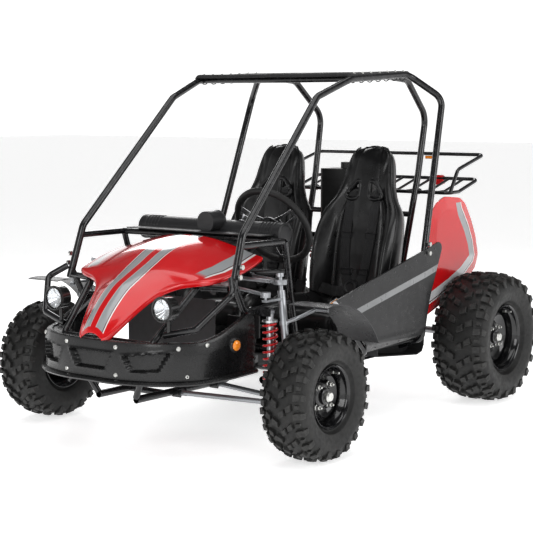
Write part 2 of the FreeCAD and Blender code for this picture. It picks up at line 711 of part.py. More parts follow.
keep("steering_wheel", biggest(steering_wheel))
column = rod(on_column(6), on_column(column_length - 32), column_radius)
collar = rod(on_column(358), on_column(364), 15)
pinion = rod(on_column(column_length - 32), on_column(column_length), pinion_radius)
keep("steering_column", joined(column, collar, pinion))
rack_bar = rod((-rack_end_x + 14, rack_y, rack_z), (rack_end_x - 14, rack_y, rack_z), rack_radius)
tie_eye = 12.0
for side in (-1, 1):
    clevis = box(min(side * 282, side * 314), max(side * 282, side * 314), rack_y - 14,
                 rack_y + 14, rack_z - tie_eye, rack_z + tie_eye)
    slot_x = sorted((side * 287.0, side * 316.0))
    clevis = clevis.cut(box(slot_x[0], slot_x[1], rack_y - 8, rack_y + 8, rack_z - 20, rack_z + 20))
    pin = cross_rod(side * rack_end_x, rack_y, rack_z, 14, arm_pin_radius)
    rack_bar = joined(rack_bar, clevis, pin)
keep("steering_rack", rack_bar)
steer_line = vec(kingpin_head) - vec(kingpin_foot)


def on_kingpin(z):
    """The point of the kingpin's axis at a height."""
    foot = vec(kingpin_foot)
    return foot + steer_line * ((z - foot.z) / steer_line.z)


cup_floor = steer_arm_z + 13.5
tie_out = V(on_kingpin(steer_arm_z).x, rack_y, cup_floor + 9)
tie_eye_ring = cross_rod(rack_end_x, rack_y, rack_z, 7.5, tie_eye - 1)
tie_bar = rod((rack_end_x, rack_y, rack_z), tie_out, 7)
cup = rod((tie_out.x, rack_y, cup_floor), (tie_out.x, rack_y, cup_floor + 19), cup_radius + 3)
tie_rod = joined(tie_eye_ring, tie_bar, cup)
tie_rod = tie_rod.cut(rod((tie_out.x, rack_y, cup_floor - 1), (tie_out.x, rack_y, cup_floor + 14),
                          cup_radius))
tie_rod = tie_rod.cut(cross_rod(rack_end_x, rack_y, rack_z, 10, arm_pin_radius + running_gap))
keep_pair("tie_rod", [biggest(tie_rod)])

# ---- front arms, kingpin, knuckle and fender -----------------------------------------------
foot = vec(kingpin_foot)
head = vec(kingpin_head)
lower_parts = []
for y0, y1 in lower_sleeves:
    lower_parts.append(rod((lower_pivot_x, y0, lower_pivot_z), (lower_pivot_x, y1, lower_pivot_z), 14))
    mid = (y0 + y1) / 2.0
    out_y = math.copysign(34.0, mid)
    lower_parts.append(rod((lower_pivot_x + 6, mid, lower_pivot_z), (516, out_y, foot.z), 10))
lower_parts.append(box(500, 522, -44, 44, foot.z - 10, foot.z + 10))
for side in (-1, 1):
    y0, y1 = sorted((side * 16.0, side * 26.0))
    lower_parts.append(box(518, foot.x + 12, y0, y1, foot.z - 11, foot.z + 11))
    ear_y = sorted((side * 15.0, side * 25.0))
    lower_parts.append(box(front_shock_foot[0] - 14, front_shock_foot[0] + 14, ear_y[0], ear_y[1],
                           foot.z - 2, front_shock_foot[2] + 13))
    lower_parts.append(box(front_shock_foot[0] - 14, front_shock_foot[0] + 14,
                           min(side * 15.0, side * 50.0), max(side * 15.0, side * 50.0),
                           foot.z - 8, foot.z + 2))
lower_parts.append(rod((foot.x, -30, foot.z), (foot.x, 30, foot.z), arm_pin_radius))
lower_parts.append(cross_rod(front_shock_foot[0], 0, front_shock_foot[2], 25, shock_pin_radius))
lower_arm = joined(lower_parts[0], *lower_parts[1:])
for y0, y1 in lower_sleeves:
    lower_arm = lower_arm.cut(rod((lower_pivot_x, y0 - 1, lower_pivot_z),
                                  (lower_pivot_x, y1 + 1, lower_pivot_z),
                                  lower_pin_radius + running_gap))
keep_pair("lower_arm", [biggest(lower_arm)])

eye_outer = 25.0
eye_inner = 16.5
upper_parts = [rod((head.x, head.y, head.z - 9), (head.x, head.y, head.z + 9), eye_outer)]
for y0, y1 in upper_sleeves:
    upper_parts.append(rod((upper_pivot_x, y0, upper_pivot_z), (upper_pivot_x, y1, upper_pivot_z), 13))
    mid = (y0 + y1) / 2.0
    upper_parts.append(rod((upper_pivot_x + 4, mid, upper_pivot_z),
                           (head.x - 16, head.y + (mid - head.y) * 0.3, head.z), 8))
upper_arm = joined(upper_parts[0], *upper_parts[1:])
upper_arm = upper_arm.cut(rod((head.x, head.y, head.z - 20), (head.x, head.y, head.z + 20), eye_inner))
for y0, y1 in upper_sleeves:
    upper_arm = upper_arm.cut(rod((upper_pivot_x, y0 - 1, upper_pivot_z),
                                  (upper_pivot_x, y1 + 1, upper_pivot_z),
                                  upper_pin_radius + running_gap))
keep_pair("upper_arm", [biggest(upper_arm)])

tube_low = 224.0
tube_high = 594.0
lug = box(foot.x - 12, foot.x + 12, -14, 14, foot.z - 13, foot.z + 18)
post = rod(on_kingpin(foot.z + 8), on_kingpin(head.z + 26), kingpin_radius)
nut = rod(on_kingpin(head.z + 17), on_kingpin(head.z + 30), 15)
kingpin = joined(lug, post, nut)
kingpin = kingpin.cut(cross_rod(foot.x, 0, foot.z, 20, arm_pin_radius + running_gap))
keep_pair("kingpin", [biggest(kingpin)])

sleeve = rod(on_kingpin(tube_low), on_kingpin(tube_high), kingpin_tube_radius)
stub_start = on_kingpin(front_axle_z)
stub_end_x = front_track_half + 34
stub = rod((stub_start.x, 0, front_axle_z), (stub_end_x, 0, front_axle_z), stub_radius)
shoulder = rod((stub_start.x, 0, front_axle_z), (stub_start.x + 34, 0, front_axle_z), 20)
arm_root = on_kingpin(steer_arm_z)
steer_arm = box(arm_root.x - 10, arm_root.x + 10, rack_y - 9, arm_root.y, steer_arm_z - 4, steer_arm_z + 4)
stud = rod((tie_out.x, rack_y, steer_arm_z), (tie_out.x, rack_y, cup_floor + 3), stud_radius)
collar_low = rod(on_kingpin(470), on_kingpin(486), 17)
fender_radius = 326.0
stay_top = V(585, 96, front_axle_z + math.sqrt((fender_radius - 8) ** 2 - 96 ** 2))
stay_solid = tube_run([on_kingpin(478), (545, 40, 500), (585, 96, stay_top.z - 12),
                       (640, 96, stay_top.z - 12)], 7, bend=20)[1]
knuckle = joined(sleeve, stub, shoulder, steer_arm, stud, collar_low, *stay_solid)
knuckle = knuckle.cut(rod(on_kingpin(tube_low - 16), on_kingpin(tube_high + 5),
                          kingpin_radius + running_gap))
fender_plan_x = (572.0, 736.0)
arch_outer = Part.makeCylinder(fender_radius + sheet, fender_plan_x[1] - fender_plan_x[0],
                               V(fender_plan_x[0], 0, front_axle_z), X_AXIS)
arch_inner = Part.makeCylinder(fender_radius, fender_plan_x[1] - fender_plan_x[0] + 2,
                               V(fender_plan_x[0] - 1, 0, front_axle_z), X_AXIS)
wedge = [(0, front_axle_z)]
for degrees in (99, 63, 29):
    wedge.append((600 * math.cos(math.radians(degrees)),
                  front_axle_z + 600 * math.sin(math.radians(degrees))))
fender = arch_outer.cut(arch_inner).common(plate_yz(wedge, 500, 800))
knuckle = knuckle.cut(arch_outer.cut(Part.makeCylinder(fender_radius - gap, 400,
                                                       V(500, 0, front_axle_z), X_AXIS)))
keep_pair("knuckle", [biggest(knuckle)])
keep_pair("fender", [biggest(fender)])


# ---- wheels --------------------------------------------------------------------------------
def tyre_shape(centre, outer, width, bead):
    """A tyre: a round-shouldered outside and an open inside."""
    half = width / 2.0
    wall = 13.0
    depth = outer - bead
    outside = [(-half * 0.72, bead), (-half * 0.94, bead + depth * 0.28), (-half, bead + depth * 0.58),
               (-half * 0.93, bead + depth * 0.84), (-half * 0.74, outer - 4), (-half * 0.35, outer),
               (half * 0.35, outer), (half * 0.74, outer - 4), (half * 0.93, bead + depth * 0.84),
               (half, bead + depth * 0.58), (half * 0.94, bead + depth * 0.28), (half * 0.72, bead)]
    inside = [(half * 0.72 - wall, bead), (half - wall, bead + depth * 0.35),
              (half - wall, bead + depth * 0.62), (half * 0.7 - 4, outer - wall - 6),
              (0, outer - wall - 2), (-half * 0.7 + 4, outer - wall - 6),
              (-half + wall, bead + depth * 0.62), (-half + wall, bead + depth * 0.35),
              (-half * 0.72 + wall, bead)]
    return spun(outside + inside, centre, X_AXIS)


def rim_shape(centre, flange, width, hub_bore, hub_in, hub_out, dish):
    """A pressed wheel, dished towards +X, with its hub and the heads of four wheel bolts."""
    half = width * 0.72 / 2.0 + 6
    seat = flange - rim_well
    barrel = [(-half, flange), (-half, flange - 4), (-half + 8, seat - 3), (dish - 4, seat - 3),
              (dish - 8, 62), (hub_in, 32), (hub_in, hub_bore), (hub_out, hub_bore),
              (hub_out, 30), (dish, 36), (dish, seat - 14), (half - 8, seat - 3),
              (half, flange - 4), (half, flange), (half - 4, flange), (half - 9, seat),
              (-half + 9, seat), (-half + 4, flange)]
    rim = spun(barrel, centre, X_AXIS)
    for quarter in range(4):
        angle = math.radians(45 + 90 * quarter)
        at = centre + V(dish - 1, 52 * math.cos(angle), 52 * math.sin(angle))
        rim = rim.fuse(rod(at, at + X_AXIS * 9, 9))
    return rim


front_centre = V(front_track_half, 0, front_axle_z)
rear_centre = V(rear_track_half, wheelbase, rear_axle_z)
front_bead = front_rim_radius - 10
rear_bead = rear_rim_radius - 10
front_rim = rim_shape(front_centre, front_rim_radius, front_tyre_width, stub_radius + running_gap,
                      -38, 30, 26)
front_tyre = tyre_shape(front_centre, front_tyre_radius, front_tyre_width, front_bead)
keep_pair("front_rim", [biggest(front_rim)])
keep_pair("front_tyre", [biggest(front_tyre.cut(front_rim))])
rear_rim = rim_shape(rear_centre, rear_rim_radius, rear_tyre_width, axle_radius + running_gap,
                     -60, 58, 40)
rear_tyre = tyre_shape(rear_centre, rear_tyre_radius, rear_tyre_width, rear_bead)
keep("rear_rims", both([biggest(rear_rim)]))
keep("rear_tyres", both([biggest(rear_tyre.cut(rear_rim))]))

# ---- swing arm, axle, engine and muffler ---------------------------------------------------
swing_parts = [rod((-ear_x + 2, swing_pivot_y, swing_pivot_z),
                   (ear_x - 2, swing_pivot_y, swing_pivot_z), 18)]
for side in (-1, 1):
    x = side * swing_arm_x
    swing_parts.append(rod((x, swing_pivot_y, swing_pivot_z), (x, wheelbase, rear_axle_z), 14))
    swing_parts.append(rod((x - 16, wheelbase, rear_axle_z), (x + 16, wheelbase, rear_axle_z), 34))
    foot_x = side * rear_shock_foot[0]
    for a in (-19.0, 14.0):
        swing_parts.append(box(foot_x + a, foot_x + a + 5, rear_shock_foot[1] - 15,
                               rear_shock_foot[1] + 15, 270, rear_shock_foot[2] + 14))
    swing_parts.append(box(foot_x - 19, foot_x + 19, rear_shock_foot[1] - 15,
                           rear_shock_foot[1] + 15, 268, 294))
    swing_parts.append(cross_rod(foot_x, rear_shock_foot[1], rear_shock_foot[2], 20,
                                 shock_pin_radius, X_AXIS))
swing_parts.append(box(-swing_arm_x, swing_arm_x, 1085, 1115, 280, 310))
swing_parts.append(box(-swing_arm_x, swing_arm_x, 1230, 1252, 276, 300))
swing_arm = joined(swing_parts[0], *swing_parts[1:])
swing_arm = swing_arm.cut(rod((-300, wheelbase, rear_axle_z), (300, wheelbase, rear_axle_z),
                              axle_radius + running_gap))
swing_arm = swing_arm.cut(cross_rod(0, swing_pivot_y, swing_pivot_z, 300,
                                    swing_pin_radius + running_gap, X_AXIS))
swing_body = biggest(swing_arm)
keep("swing_arm", swing_body)

axle = rod((-axle_half_length, wheelbase, rear_axle_z), (axle_half_length, wheelbase, rear_axle_z),
           axle_radius)
for side, thick in ((-1, 5.0), (1, 7.0)):
    x = side * rotor_x
    axle = axle.fuse(rod((x, wheelbase, rear_axle_z), (x + thick, wheelbase, rear_axle_z), rotor_radius))
    axle = axle.fuse(rod((x - 12, wheelbase, rear_axle_z), (x + 20, wheelbase, rear_axle_z), 28))
for side in (-1, 1):
    inner = side * (axle_half_length - 8)
    axle = axle.fuse(rod((inner, wheelbase, rear_axle_z),
                         (side * axle_half_length, wheelbase, rear_axle_z), 20))
keep("rear_axle", axle.removeSplitter())

engine_parts = [box(-120, 95, 1120, 1250, 300 + gap, 430), rod((-150, 1180, 400), (-120, 1180, 400), 80),
                rod((-10, 1150, 430), (-10, 1210, 555), 48)]
for fin in range(5):
    z = 452 + fin * 18
    engine_parts.append(box(-75, 55, 1105 + fin * 8, 1225 + fin * 8, z, z + 6))
cover = rod((96, 1120, 400), (150, 1120, 400), 62)
cover = cover.fuse(rod((96, 1262, 400), (150, 1262, 400), 62)).fuse(box(96, 150, 1120, 1262, 338, 462))
engine_parts.append(cover)
engine_parts.append(box(90, 100, 1150, 1240, 360, 430))
engine = joined(engine_parts[0], *engine_parts[1:])
engine = engine.cut(swing_body)
keep("engine", biggest(engine))
muffler = rod((-150, 1425, 440), (150, 1425, 440), 52)
pipe = rod((-60, 1400, 440), (-60, 1258, 470), 15)
outlet_boss = rod((100, 1440, 440), (100, 1484, 440), 22)
outlet = rod((100, 1440, 440), (100, 1512, 440), outlet_radius)
muffler = joined(muffler, pipe, outlet_boss, outlet)
muffler = muffler.cut(engine)
keep("muffler", biggest(muffler))

# ---- pedals --------------------------------------------------------------------------------
for name, x, width, height in (("brake_pedal", 185.0, 60.0, 150.0), ("throttle_pedal", 285.0, 44.0, 165.0)):
    barrel = cross_rod(x, pedal_y, pedal_z, 14, 11, X_AXIS)
    lever = rod((x, pedal_y, pedal_z), (x, pedal_y + 22, pedal_z + height * 0.6), 7)
    face = box(x - width / 2, x + width / 2, pedal_y + 14, pedal_y + 22,
               pedal_z + height * 0.45, pedal_z + height)
    pedal = joined(barrel, lever, face)
    pedal = pedal.cut(cross_rod(x, pedal_y, pedal_z, 20, 5 + running_gap, X_AXIS))
    keep(name, biggest(pedal))

# ---- write every part, centred on the origin -----------------------------------------------
for name, solids in nodes.items():
    shape = Part.makeCompound(solids) if len(solids) > 1 else solids[0].copy()
    shape.translate(V(0, -middle_y, 0))
    shape.exportStep("parts/" + name + ".step")
print(len(nodes), "parts written; front axle at y =", -middle_y)
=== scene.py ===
# %% [markdown]
# # A two-seat off-road kart
# The frame below is the working model: every tube, arm and wheel is already in its place and
# at its true size. This lesson dresses it. Shapes that were only blocked out are built again
# in detail, and every surface gets a finish made from nodes.

# %% Load the frame
import json
import math
import random

import bmesh
import bpy
from mathutils import Matrix, Vector, noise

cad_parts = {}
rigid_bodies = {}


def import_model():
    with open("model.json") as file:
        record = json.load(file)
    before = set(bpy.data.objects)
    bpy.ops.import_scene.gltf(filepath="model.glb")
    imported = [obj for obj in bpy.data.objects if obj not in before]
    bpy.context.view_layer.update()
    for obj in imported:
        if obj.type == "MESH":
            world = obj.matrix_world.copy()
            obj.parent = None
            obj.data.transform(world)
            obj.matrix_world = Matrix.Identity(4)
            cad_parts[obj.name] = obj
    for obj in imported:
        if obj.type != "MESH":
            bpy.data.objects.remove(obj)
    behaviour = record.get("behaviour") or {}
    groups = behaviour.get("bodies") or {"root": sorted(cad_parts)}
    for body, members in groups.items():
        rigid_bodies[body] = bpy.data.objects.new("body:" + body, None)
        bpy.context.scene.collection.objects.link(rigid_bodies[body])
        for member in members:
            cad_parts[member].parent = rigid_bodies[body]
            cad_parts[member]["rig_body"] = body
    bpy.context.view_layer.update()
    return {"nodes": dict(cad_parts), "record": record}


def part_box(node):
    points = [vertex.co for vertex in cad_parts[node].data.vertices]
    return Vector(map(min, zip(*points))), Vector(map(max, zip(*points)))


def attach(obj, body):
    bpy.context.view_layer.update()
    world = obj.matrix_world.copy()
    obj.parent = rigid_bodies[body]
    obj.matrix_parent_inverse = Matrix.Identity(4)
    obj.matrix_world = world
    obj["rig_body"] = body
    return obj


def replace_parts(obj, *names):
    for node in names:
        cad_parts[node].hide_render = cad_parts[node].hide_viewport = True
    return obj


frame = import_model()
nodes = frame["nodes"]
joints = {j["name"]: j for j in frame["record"]["behaviour"]["joints"]}
random.seed(4)
print("nodes:", len(nodes), "joints:", len(joints))

# %% [markdown]
# ## Places to build from
# Every place below comes from the frame: a joint's pivot, or the box round a node. The front
# axle is the origin that a kart builder would measure from, so lengths along the kart are
# given from there and moved into the frame's own coordinates by one helper.

# %% Places
axle_y = joints["front_wheel_spin_left"]["pos_m"][1]


def at(x, y, z):
    """A point given from the centre plane, the front axle and the ground."""
    return Vector((x, y + axle_y, z))


def joint_place(name):
    return Vector(joints[name]["pos_m"])


print("front axle at y =", round(axle_y, 4))

# %% [markdown]
# ## A small kit for finishes
# A finish is a node tree: coordinates feed noise, noise feeds colour, roughness and bump.
# Writing that by hand for thirty finishes would hide what differs between them, so a helper
# class adds and links nodes, and each finish below states only its own numbers.

# %% Node helper
class Finish:
    """Builds one material. Every method returns a socket that the next one can use."""

    def __init__(self, name, metallic=0.0, coat=0.0, sheen=0.0):
        self.material = bpy.data.materials.new(name)
        self.material.use_nodes = True
        self.tree = self.material.node_tree
        self.surface = self.tree.nodes["Principled BSDF"]
        self.surface.inputs["Metallic"].default_value = metallic
        self.surface.inputs["Coat Weight"].default_value = coat
        self.surface.inputs["Coat Roughness"].default_value = 0.06
        self.surface.inputs["Sheen Weight"].default_value = sheen
        self.place = self.add("ShaderNodeTexCoord").outputs["Object"]
        self.height = None

    def add(self, kind, **settings):
        node = self.tree.nodes.new(kind)
        for key, value in settings.items():
            setattr(node, key, value)
        return node

    def put(self, socket, value):
        """Link a socket, or set a plain value on it."""
        if isinstance(value, bpy.types.NodeSocket):
            self.tree.links.new(value, socket)
        elif isinstance(value, tuple) and len(value) == 3 and socket.type == "RGBA":
            socket.default_value = (*value, 1.0)
        else:
            socket.default_value = value

    def math(self, operation, a, b=0.0):
        node = self.add("ShaderNodeMath", operation=operation)
        self.put(node.inputs[0], a)
        self.put(node.inputs[1], b)
        return node.outputs[0]

    def axes(self):
        node = self.add("ShaderNodeSeparateXYZ")
        self.put(node.inputs[0], self.place)
        return node.outputs[0], node.outputs[1], node.outputs[2]

    def noise(self, scale, detail=4.0, stretch=None):
        node = self.add("ShaderNodeTexNoise")
        node.inputs["Scale"].default_value = scale
        node.inputs["Detail"].default_value = detail
        self.put(node.inputs["Vector"], self.stretched(stretch) if stretch else self.place)
        return node.outputs["Fac"]

    def stretched(self, factors):
        node = self.add("ShaderNodeMapping")
        node.inputs["Scale"].default_value = factors
        self.put(node.inputs["Vector"], self.place)
        return node.outputs[0]

    def cells(self, scale, feature="F1", stretch=None):
        node = self.add("ShaderNodeTexVoronoi", feature=feature)
        node.inputs["Scale"].default_value = scale
        self.put(node.inputs["Vector"], self.stretched(stretch) if stretch else self.place)
        return node.outputs["Distance"]

    def spread(self, value, low, high, to_low=0.0, to_high=1.0):
        node = self.add("ShaderNodeMapRange", clamp=True)
        for i, item in enumerate((value, low, high, to_low, to_high)):
            self.put(node.inputs[i], item)
        return node.outputs[0]

    def between(self, value, low, high, soft=0.0006):
        """1 where the value lies between the limits and 0 outside them."""
        rise = self.spread(value, low - soft, low + soft)
        fall = self.spread(value, high - soft, high + soft, 1.0, 0.0)
        return self.math("MULTIPLY", rise, fall)

    def mix(self, amount, a, b):
        node = self.add("ShaderNodeMix", data_type="RGBA")
        self.put(node.inputs[0], amount)
        self.put(node.inputs[6], a)
        self.put(node.inputs[7], b)
        return node.outputs[2]

    def colour(self, value):
        self.put(self.surface.inputs["Base Color"], value)
        return self

    def rough(self, value):
        self.put(self.surface.inputs["Roughness"], value)
        return self

    def bump(self, height, strength, distance=0.001):
        node = self.add("ShaderNodeBump")
        node.inputs["Strength"].default_value = strength
        node.inputs["Distance"].default_value = distance
        self.put(node.inputs["Height"], height)
        if self.height is not None:
            self.put(node.inputs["Normal"], self.height)
        self.height = node.outputs[0]
        self.put(self.surface.inputs["Normal"], self.height)
        return self

    def edges(self, low=0.52, high=0.6):
        """1 along sharp outer edges, where paint wears, and where moulded plastic gets a painted highlight.
        """
        node = self.add("ShaderNodeNewGeometry")
        return self.spread(node.outputs["Pointiness"], low, high)

    def facing_up(self, low=0.55, high=0.95):
        node = self.add("ShaderNodeNewGeometry")
        parts = self.add("ShaderNodeSeparateXYZ")
        self.put(parts.inputs[0], node.outputs["Normal"])
        return self.spread(parts.outputs[2], low, high)


print("finish helper ready")

# %% [markdown]
# ## Painted steel
# The cage is bent steel tube under thick gloss powder coat. Powder melts into a skin with a
# faint orange peel, so the highlights on it are long but never perfectly straight. Two layers
# of noise do this: a fine one for the peel and a wide one that moves the roughness. The
# worn edges come from the mesh's own sharpness, so they sit where a boot or a strap rubs.

# %% Painted steel
def painted(name, base, edge, rough=(0.16, 0.3), peel=0.12, coat=0.5, dust=0.05, metallic=0.0):
    f = Finish(name, metallic=metallic, coat=coat)
    wide = f.noise(5.0)
    speck = f.noise(900.0, 2.0)
    tone = f.mix(f.spread(wide, 0.3, 0.7, 0.0, 0.5), base, tuple(c * 1.5 + 0.002 for c in base))
    worn = f.math("MULTIPLY", f.edges(), f.spread(f.noise(60.0), 0.5, 0.7, 0.0, 0.6))
    tone = f.mix(worn, tone, edge)
    dusty = f.math("MULTIPLY", f.facing_up(), f.spread(f.noise(14.0), 0.45, 0.8, 0.0, dust))
    f.colour(f.mix(dusty, tone, (0.35, 0.33, 0.30)))
    f.rough(f.spread(f.noise(22.0), 0.3, 0.7, *rough))
    f.bump(f.noise(420.0, 2.0), peel, 0.0004)
    f.bump(speck, peel * 0.3, 0.0002)
    return f.material


finishes = {
    "powder_black": painted("powder_black", (0.008, 0.008, 0.009), (0.06, 0.06, 0.065), (0.12, 0.26)),
    "satin_black": painted("satin_black", (0.014, 0.014, 0.015), (0.08, 0.08, 0.085),
                           (0.3, 0.45), coat=0.1),
    "heat_black": painted("heat_black", (0.02, 0.02, 0.02), (0.1, 0.08, 0.06), (0.5, 0.7),
                          peel=0.25, coat=0.0, dust=0.2),
    "silver_paint": painted("silver_paint", (0.33, 0.34, 0.355), (0.6, 0.6, 0.62), (0.26, 0.4),
                            coat=0.25, metallic=0.75),
    "spring_red": painted("spring_red", (0.50, 0.008, 0.012), (0.75, 0.2, 0.18), (0.14, 0.24)),
    "rim_black": painted("rim_black", (0.006, 0.006, 0.007), (0.09, 0.09, 0.095), (0.1, 0.2),
                         coat=0.8, dust=0.03),
}
print("painted finishes:", len(finishes))

# %% [markdown]
# ## Bare and plated metal
# Turned and plated parts carry fine scratches that run one way. Stretching the noise along
# one axis makes them, and the same noise moves the roughness so that highlights streak.

# %% Bare metal
def bare_metal(name, base, rough=(0.22, 0.4), stretch=(60.0, 900.0, 900.0), stain=0.25):
    f = Finish(name, metallic=1.0)
    grain = f.noise(1.0, 3.0, stretch)
    dull = f.spread(f.noise(30.0), 0.4, 0.75, 0.0, stain)
    tone = f.mix(grain, base, tuple(min(1.0, c * 1.25) for c in base))
    f.colour(f.mix(dull, tone, tuple(c * 0.45 for c in base)))
    f.rough(f.spread(grain, 0.3, 0.7, *rough))
    f.bump(grain, 0.12, 0.0003)
    return f.material


finishes.update({
    "zinc": bare_metal("zinc", (0.62, 0.62, 0.60), (0.25, 0.42), (500.0, 500.0, 500.0)),
    "bright_steel": bare_metal("bright_steel", (0.60, 0.60, 0.62)),
    "turned_steel": bare_metal("turned_steel", (0.36, 0.36, 0.37), (0.3, 0.5), (900.0, 60.0, 60.0)),
    "chrome_bowl": bare_metal("chrome_bowl", (0.86, 0.87, 0.88), (0.03, 0.09),
                              (200.0, 200.0, 200.0), 0.08),
    "spoke_plate": bare_metal("spoke_plate", (0.55, 0.55, 0.56), (0.2, 0.36)),
    "cast_grey": bare_metal("cast_grey", (0.26, 0.265, 0.27), (0.5, 0.7), (350.0, 350.0, 350.0), 0.5),
})
print("metals:", len(finishes))

# %% [markdown]
# ## Moulded plastic
# Black bodywork is moulded with a grained skin: a field of small rounded cells with smooth
# high spots. A cell texture gives that grain. The red panels are gloss with a clear coat and
# only the long, slow ripple that thin moulded sheet has.

# %% Moulded plastic
def grained(name, base, rough=(0.38, 0.55), grain=0.3, scale=900.0, coat=0.0):
    f = Finish(name, coat=coat)
    wide = f.noise(7.0)
    tone = f.mix(f.spread(wide, 0.3, 0.7), base, tuple(c * 1.45 + 0.001 for c in base))
    # Sharp edges are painted paler: a painted highlight on the moulded plastic.
    painted_edge_highlight = f.math("MULTIPLY", f.edges(0.53, 0.62), 0.5)
    tone = f.mix(painted_edge_highlight, tone, tuple(c * 3.0 + 0.02 for c in base))
    dusty = f.math("MULTIPLY", f.facing_up(), f.spread(f.noise(18.0), 0.45, 0.8, 0.0, 0.07))
    f.colour(f.mix(dusty, tone, (0.30, 0.29, 0.27)))
    f.rough(f.spread(f.noise(40.0), 0.3, 0.7, *rough))
    f.bump(f.cells(scale), grain, 0.0004)
    return f.material


finishes.update({
    "fascia_plastic": grained("fascia_plastic", (0.008, 0.008, 0.0085), (0.2, 0.34), 0.2, coat=0.25),
    "floor_plastic": grained("floor_plastic", (0.02, 0.02, 0.021), (0.5, 0.7), 0.6, 420.0),
    "dash_plastic": grained("dash_plastic", (0.012, 0.012, 0.013), (0.3, 0.45)),
    "tank_plastic": grained("tank_plastic", (0.012, 0.012, 0.012), (0.32, 0.5), 0.2, 600.0),
    "fender_plastic": grained("fender_plastic", (0.012, 0.012, 0.013), (0.24, 0.38)),
    "lamp_shell": grained("lamp_shell", (0.008, 0.008, 0.008), (0.12, 0.22), 0.08, 800.0, 0.5),
    "mesh_black": grained("mesh_black", (0.006, 0.006, 0.006), (0.3, 0.4), 0.15),
    "grip_rubber": grained("grip_rubber", (0.010, 0.010, 0.010), (0.42, 0.6), 0.7, 500.0),
})
print("plastics ready")

# %% [markdown]
# ## Gloss red bodywork with stripes
# The hood and the rear panels are gloss red with printed stripes. The stripes are drawn by
# the shader, from a place that each panel's mesh carries on its points: across the panel and
# along it. That keeps every stripe edge sharp however coarse the mesh is.

# %% Gloss red
red = (0.60, 0.006, 0.010)
stripe_grey = (0.36, 0.37, 0.38)
stripe_white = (0.80, 0.80, 0.80)


def gloss_red(name, lines):
    """Gloss red with printed bands. lines is called with the finish and the three numbers of
    the point's place, and returns a list of (mask, colour)."""
    f = Finish(name, coat=0.9)
    spot = f.add("ShaderNodeAttribute", attribute_name="panel_place")
    parts = f.add("ShaderNodeSeparateXYZ")
    f.put(parts.inputs[0], spot.outputs["Vector"])
    tone = f.mix(f.spread(f.noise(3.0), 0.35, 0.65), red, tuple(c * 1.12 for c in red))
    for mask, shade in lines(f, *parts.outputs[:3]):
        tone = f.mix(mask, tone, shade)
    dusty = f.math("MULTIPLY", f.facing_up(), f.spread(f.noise(16.0), 0.5, 0.8, 0.0, 0.03))
    f.colour(f.mix(dusty, tone, (0.6, 0.5, 0.45)))
    f.rough(f.spread(f.noise(26.0), 0.3, 0.7, 0.14, 0.24))
    f.bump(f.noise(9.0, 1.0), 0.10, 0.002)
    f.bump(f.noise(700.0, 1.0), 0.04, 0.0002)
    return f.material


print("gloss red ready")

# %% [markdown]
# ## Lenses, leather and cloth
# An amber or red reflector is clear plastic over a field of tiny prisms, so it needs a cell
# texture and a little light passing through. Leather has a grain of small irregular cells
# with creases between them. Webbing and canopy cloth are woven, and two crossed waves make
# the weave without any unwrapped coordinates.

# %% Lens, leather and cloth
def lens(name, base, facets=260.0, passing=0.25, painted_glow=0.0):
    f = Finish(name, coat=1.0)
    prisms = f.cells(facets)
    f.colour(f.mix(f.spread(prisms, 0.1, 0.6), base, tuple(min(1.0, c * 1.8 + 0.02) for c in base)))
    f.rough(f.spread(f.noise(40.0), 0.3, 0.7, 0.05, 0.14))
    f.surface.inputs["Transmission Weight"].default_value = passing
    # A faint emission in the lens colour: a painted glow on the reflector and tail lenses.
    f.surface.inputs["Emission Color"].default_value = (*base, 1.0)
    f.surface.inputs["Emission Strength"].default_value = painted_glow
    f.bump(prisms, 0.35, 0.0006)
    return f.material


def leather(name, base, rough=(0.24, 0.4), grain=520.0):
    f = Finish(name, coat=0.25)
    cells = f.cells(grain, "SMOOTH_F1")
    crease = f.noise(34.0, 6.0)
    tone = f.mix(f.spread(crease, 0.35, 0.7), base, tuple(c * 1.7 + 0.002 for c in base))
    f.colour(f.mix(f.spread(cells, 0.05, 0.45, 0.35, 0.0), tone, tuple(c * 0.4 for c in base)))
    f.rough(f.spread(f.noise(18.0), 0.3, 0.7, *rough))
    f.bump(crease, 0.10, 0.002)
    f.bump(cells, 0.35, 0.0005)
    return f.material


def woven(name, base, thread=1500.0, rough=(0.7, 0.9), sheen=0.3, lift=0.6):
    f = Finish(name, sheen=sheen)
    x, y, z = f.axes()
    slope = f.math("ADD", y, f.math("MULTIPLY", z, 0.9))
    across = f.math("SINE", f.math("MULTIPLY", x, thread * 2.0))
    along = f.math("SINE", f.math("MULTIPLY", slope, thread * 2.0))
    weave = f.math("MULTIPLY", across, along)
    fuzz = f.noise(900.0, 3.0)
    tone = f.mix(f.spread(weave, -1.0, 1.0), tuple(c * 0.55 for c in base), tuple(c * 1.5 for c in base))
    f.colour(f.mix(f.spread(f.noise(12.0), 0.35, 0.7, 0.0, 0.35), tone, tuple(c * 2.2 for c in base)))
    f.rough(f.spread(fuzz, 0.3, 0.7, *rough))
    f.bump(weave, lift, 0.0004)
    f.bump(f.noise(26.0, 5.0), 0.15, 0.003)
    return f.material


finishes.update({
    # The amber and tail lenses get a faint emission: a painted glow.
    "amber_lens": lens("amber_lens", (0.85, 0.22, 0.015), painted_glow=0.08),
    "tail_lens": lens("tail_lens", (0.45, 0.004, 0.006), painted_glow=0.04),
    "seat_leather": leather("seat_leather", (0.009, 0.009, 0.0095)),
    "belt_web": woven("belt_web", (0.018, 0.018, 0.019)),
    "canopy_cloth": woven("canopy_cloth", (0.010, 0.010, 0.011), 900.0, (0.55, 0.75), 0.15, 0.5),
})


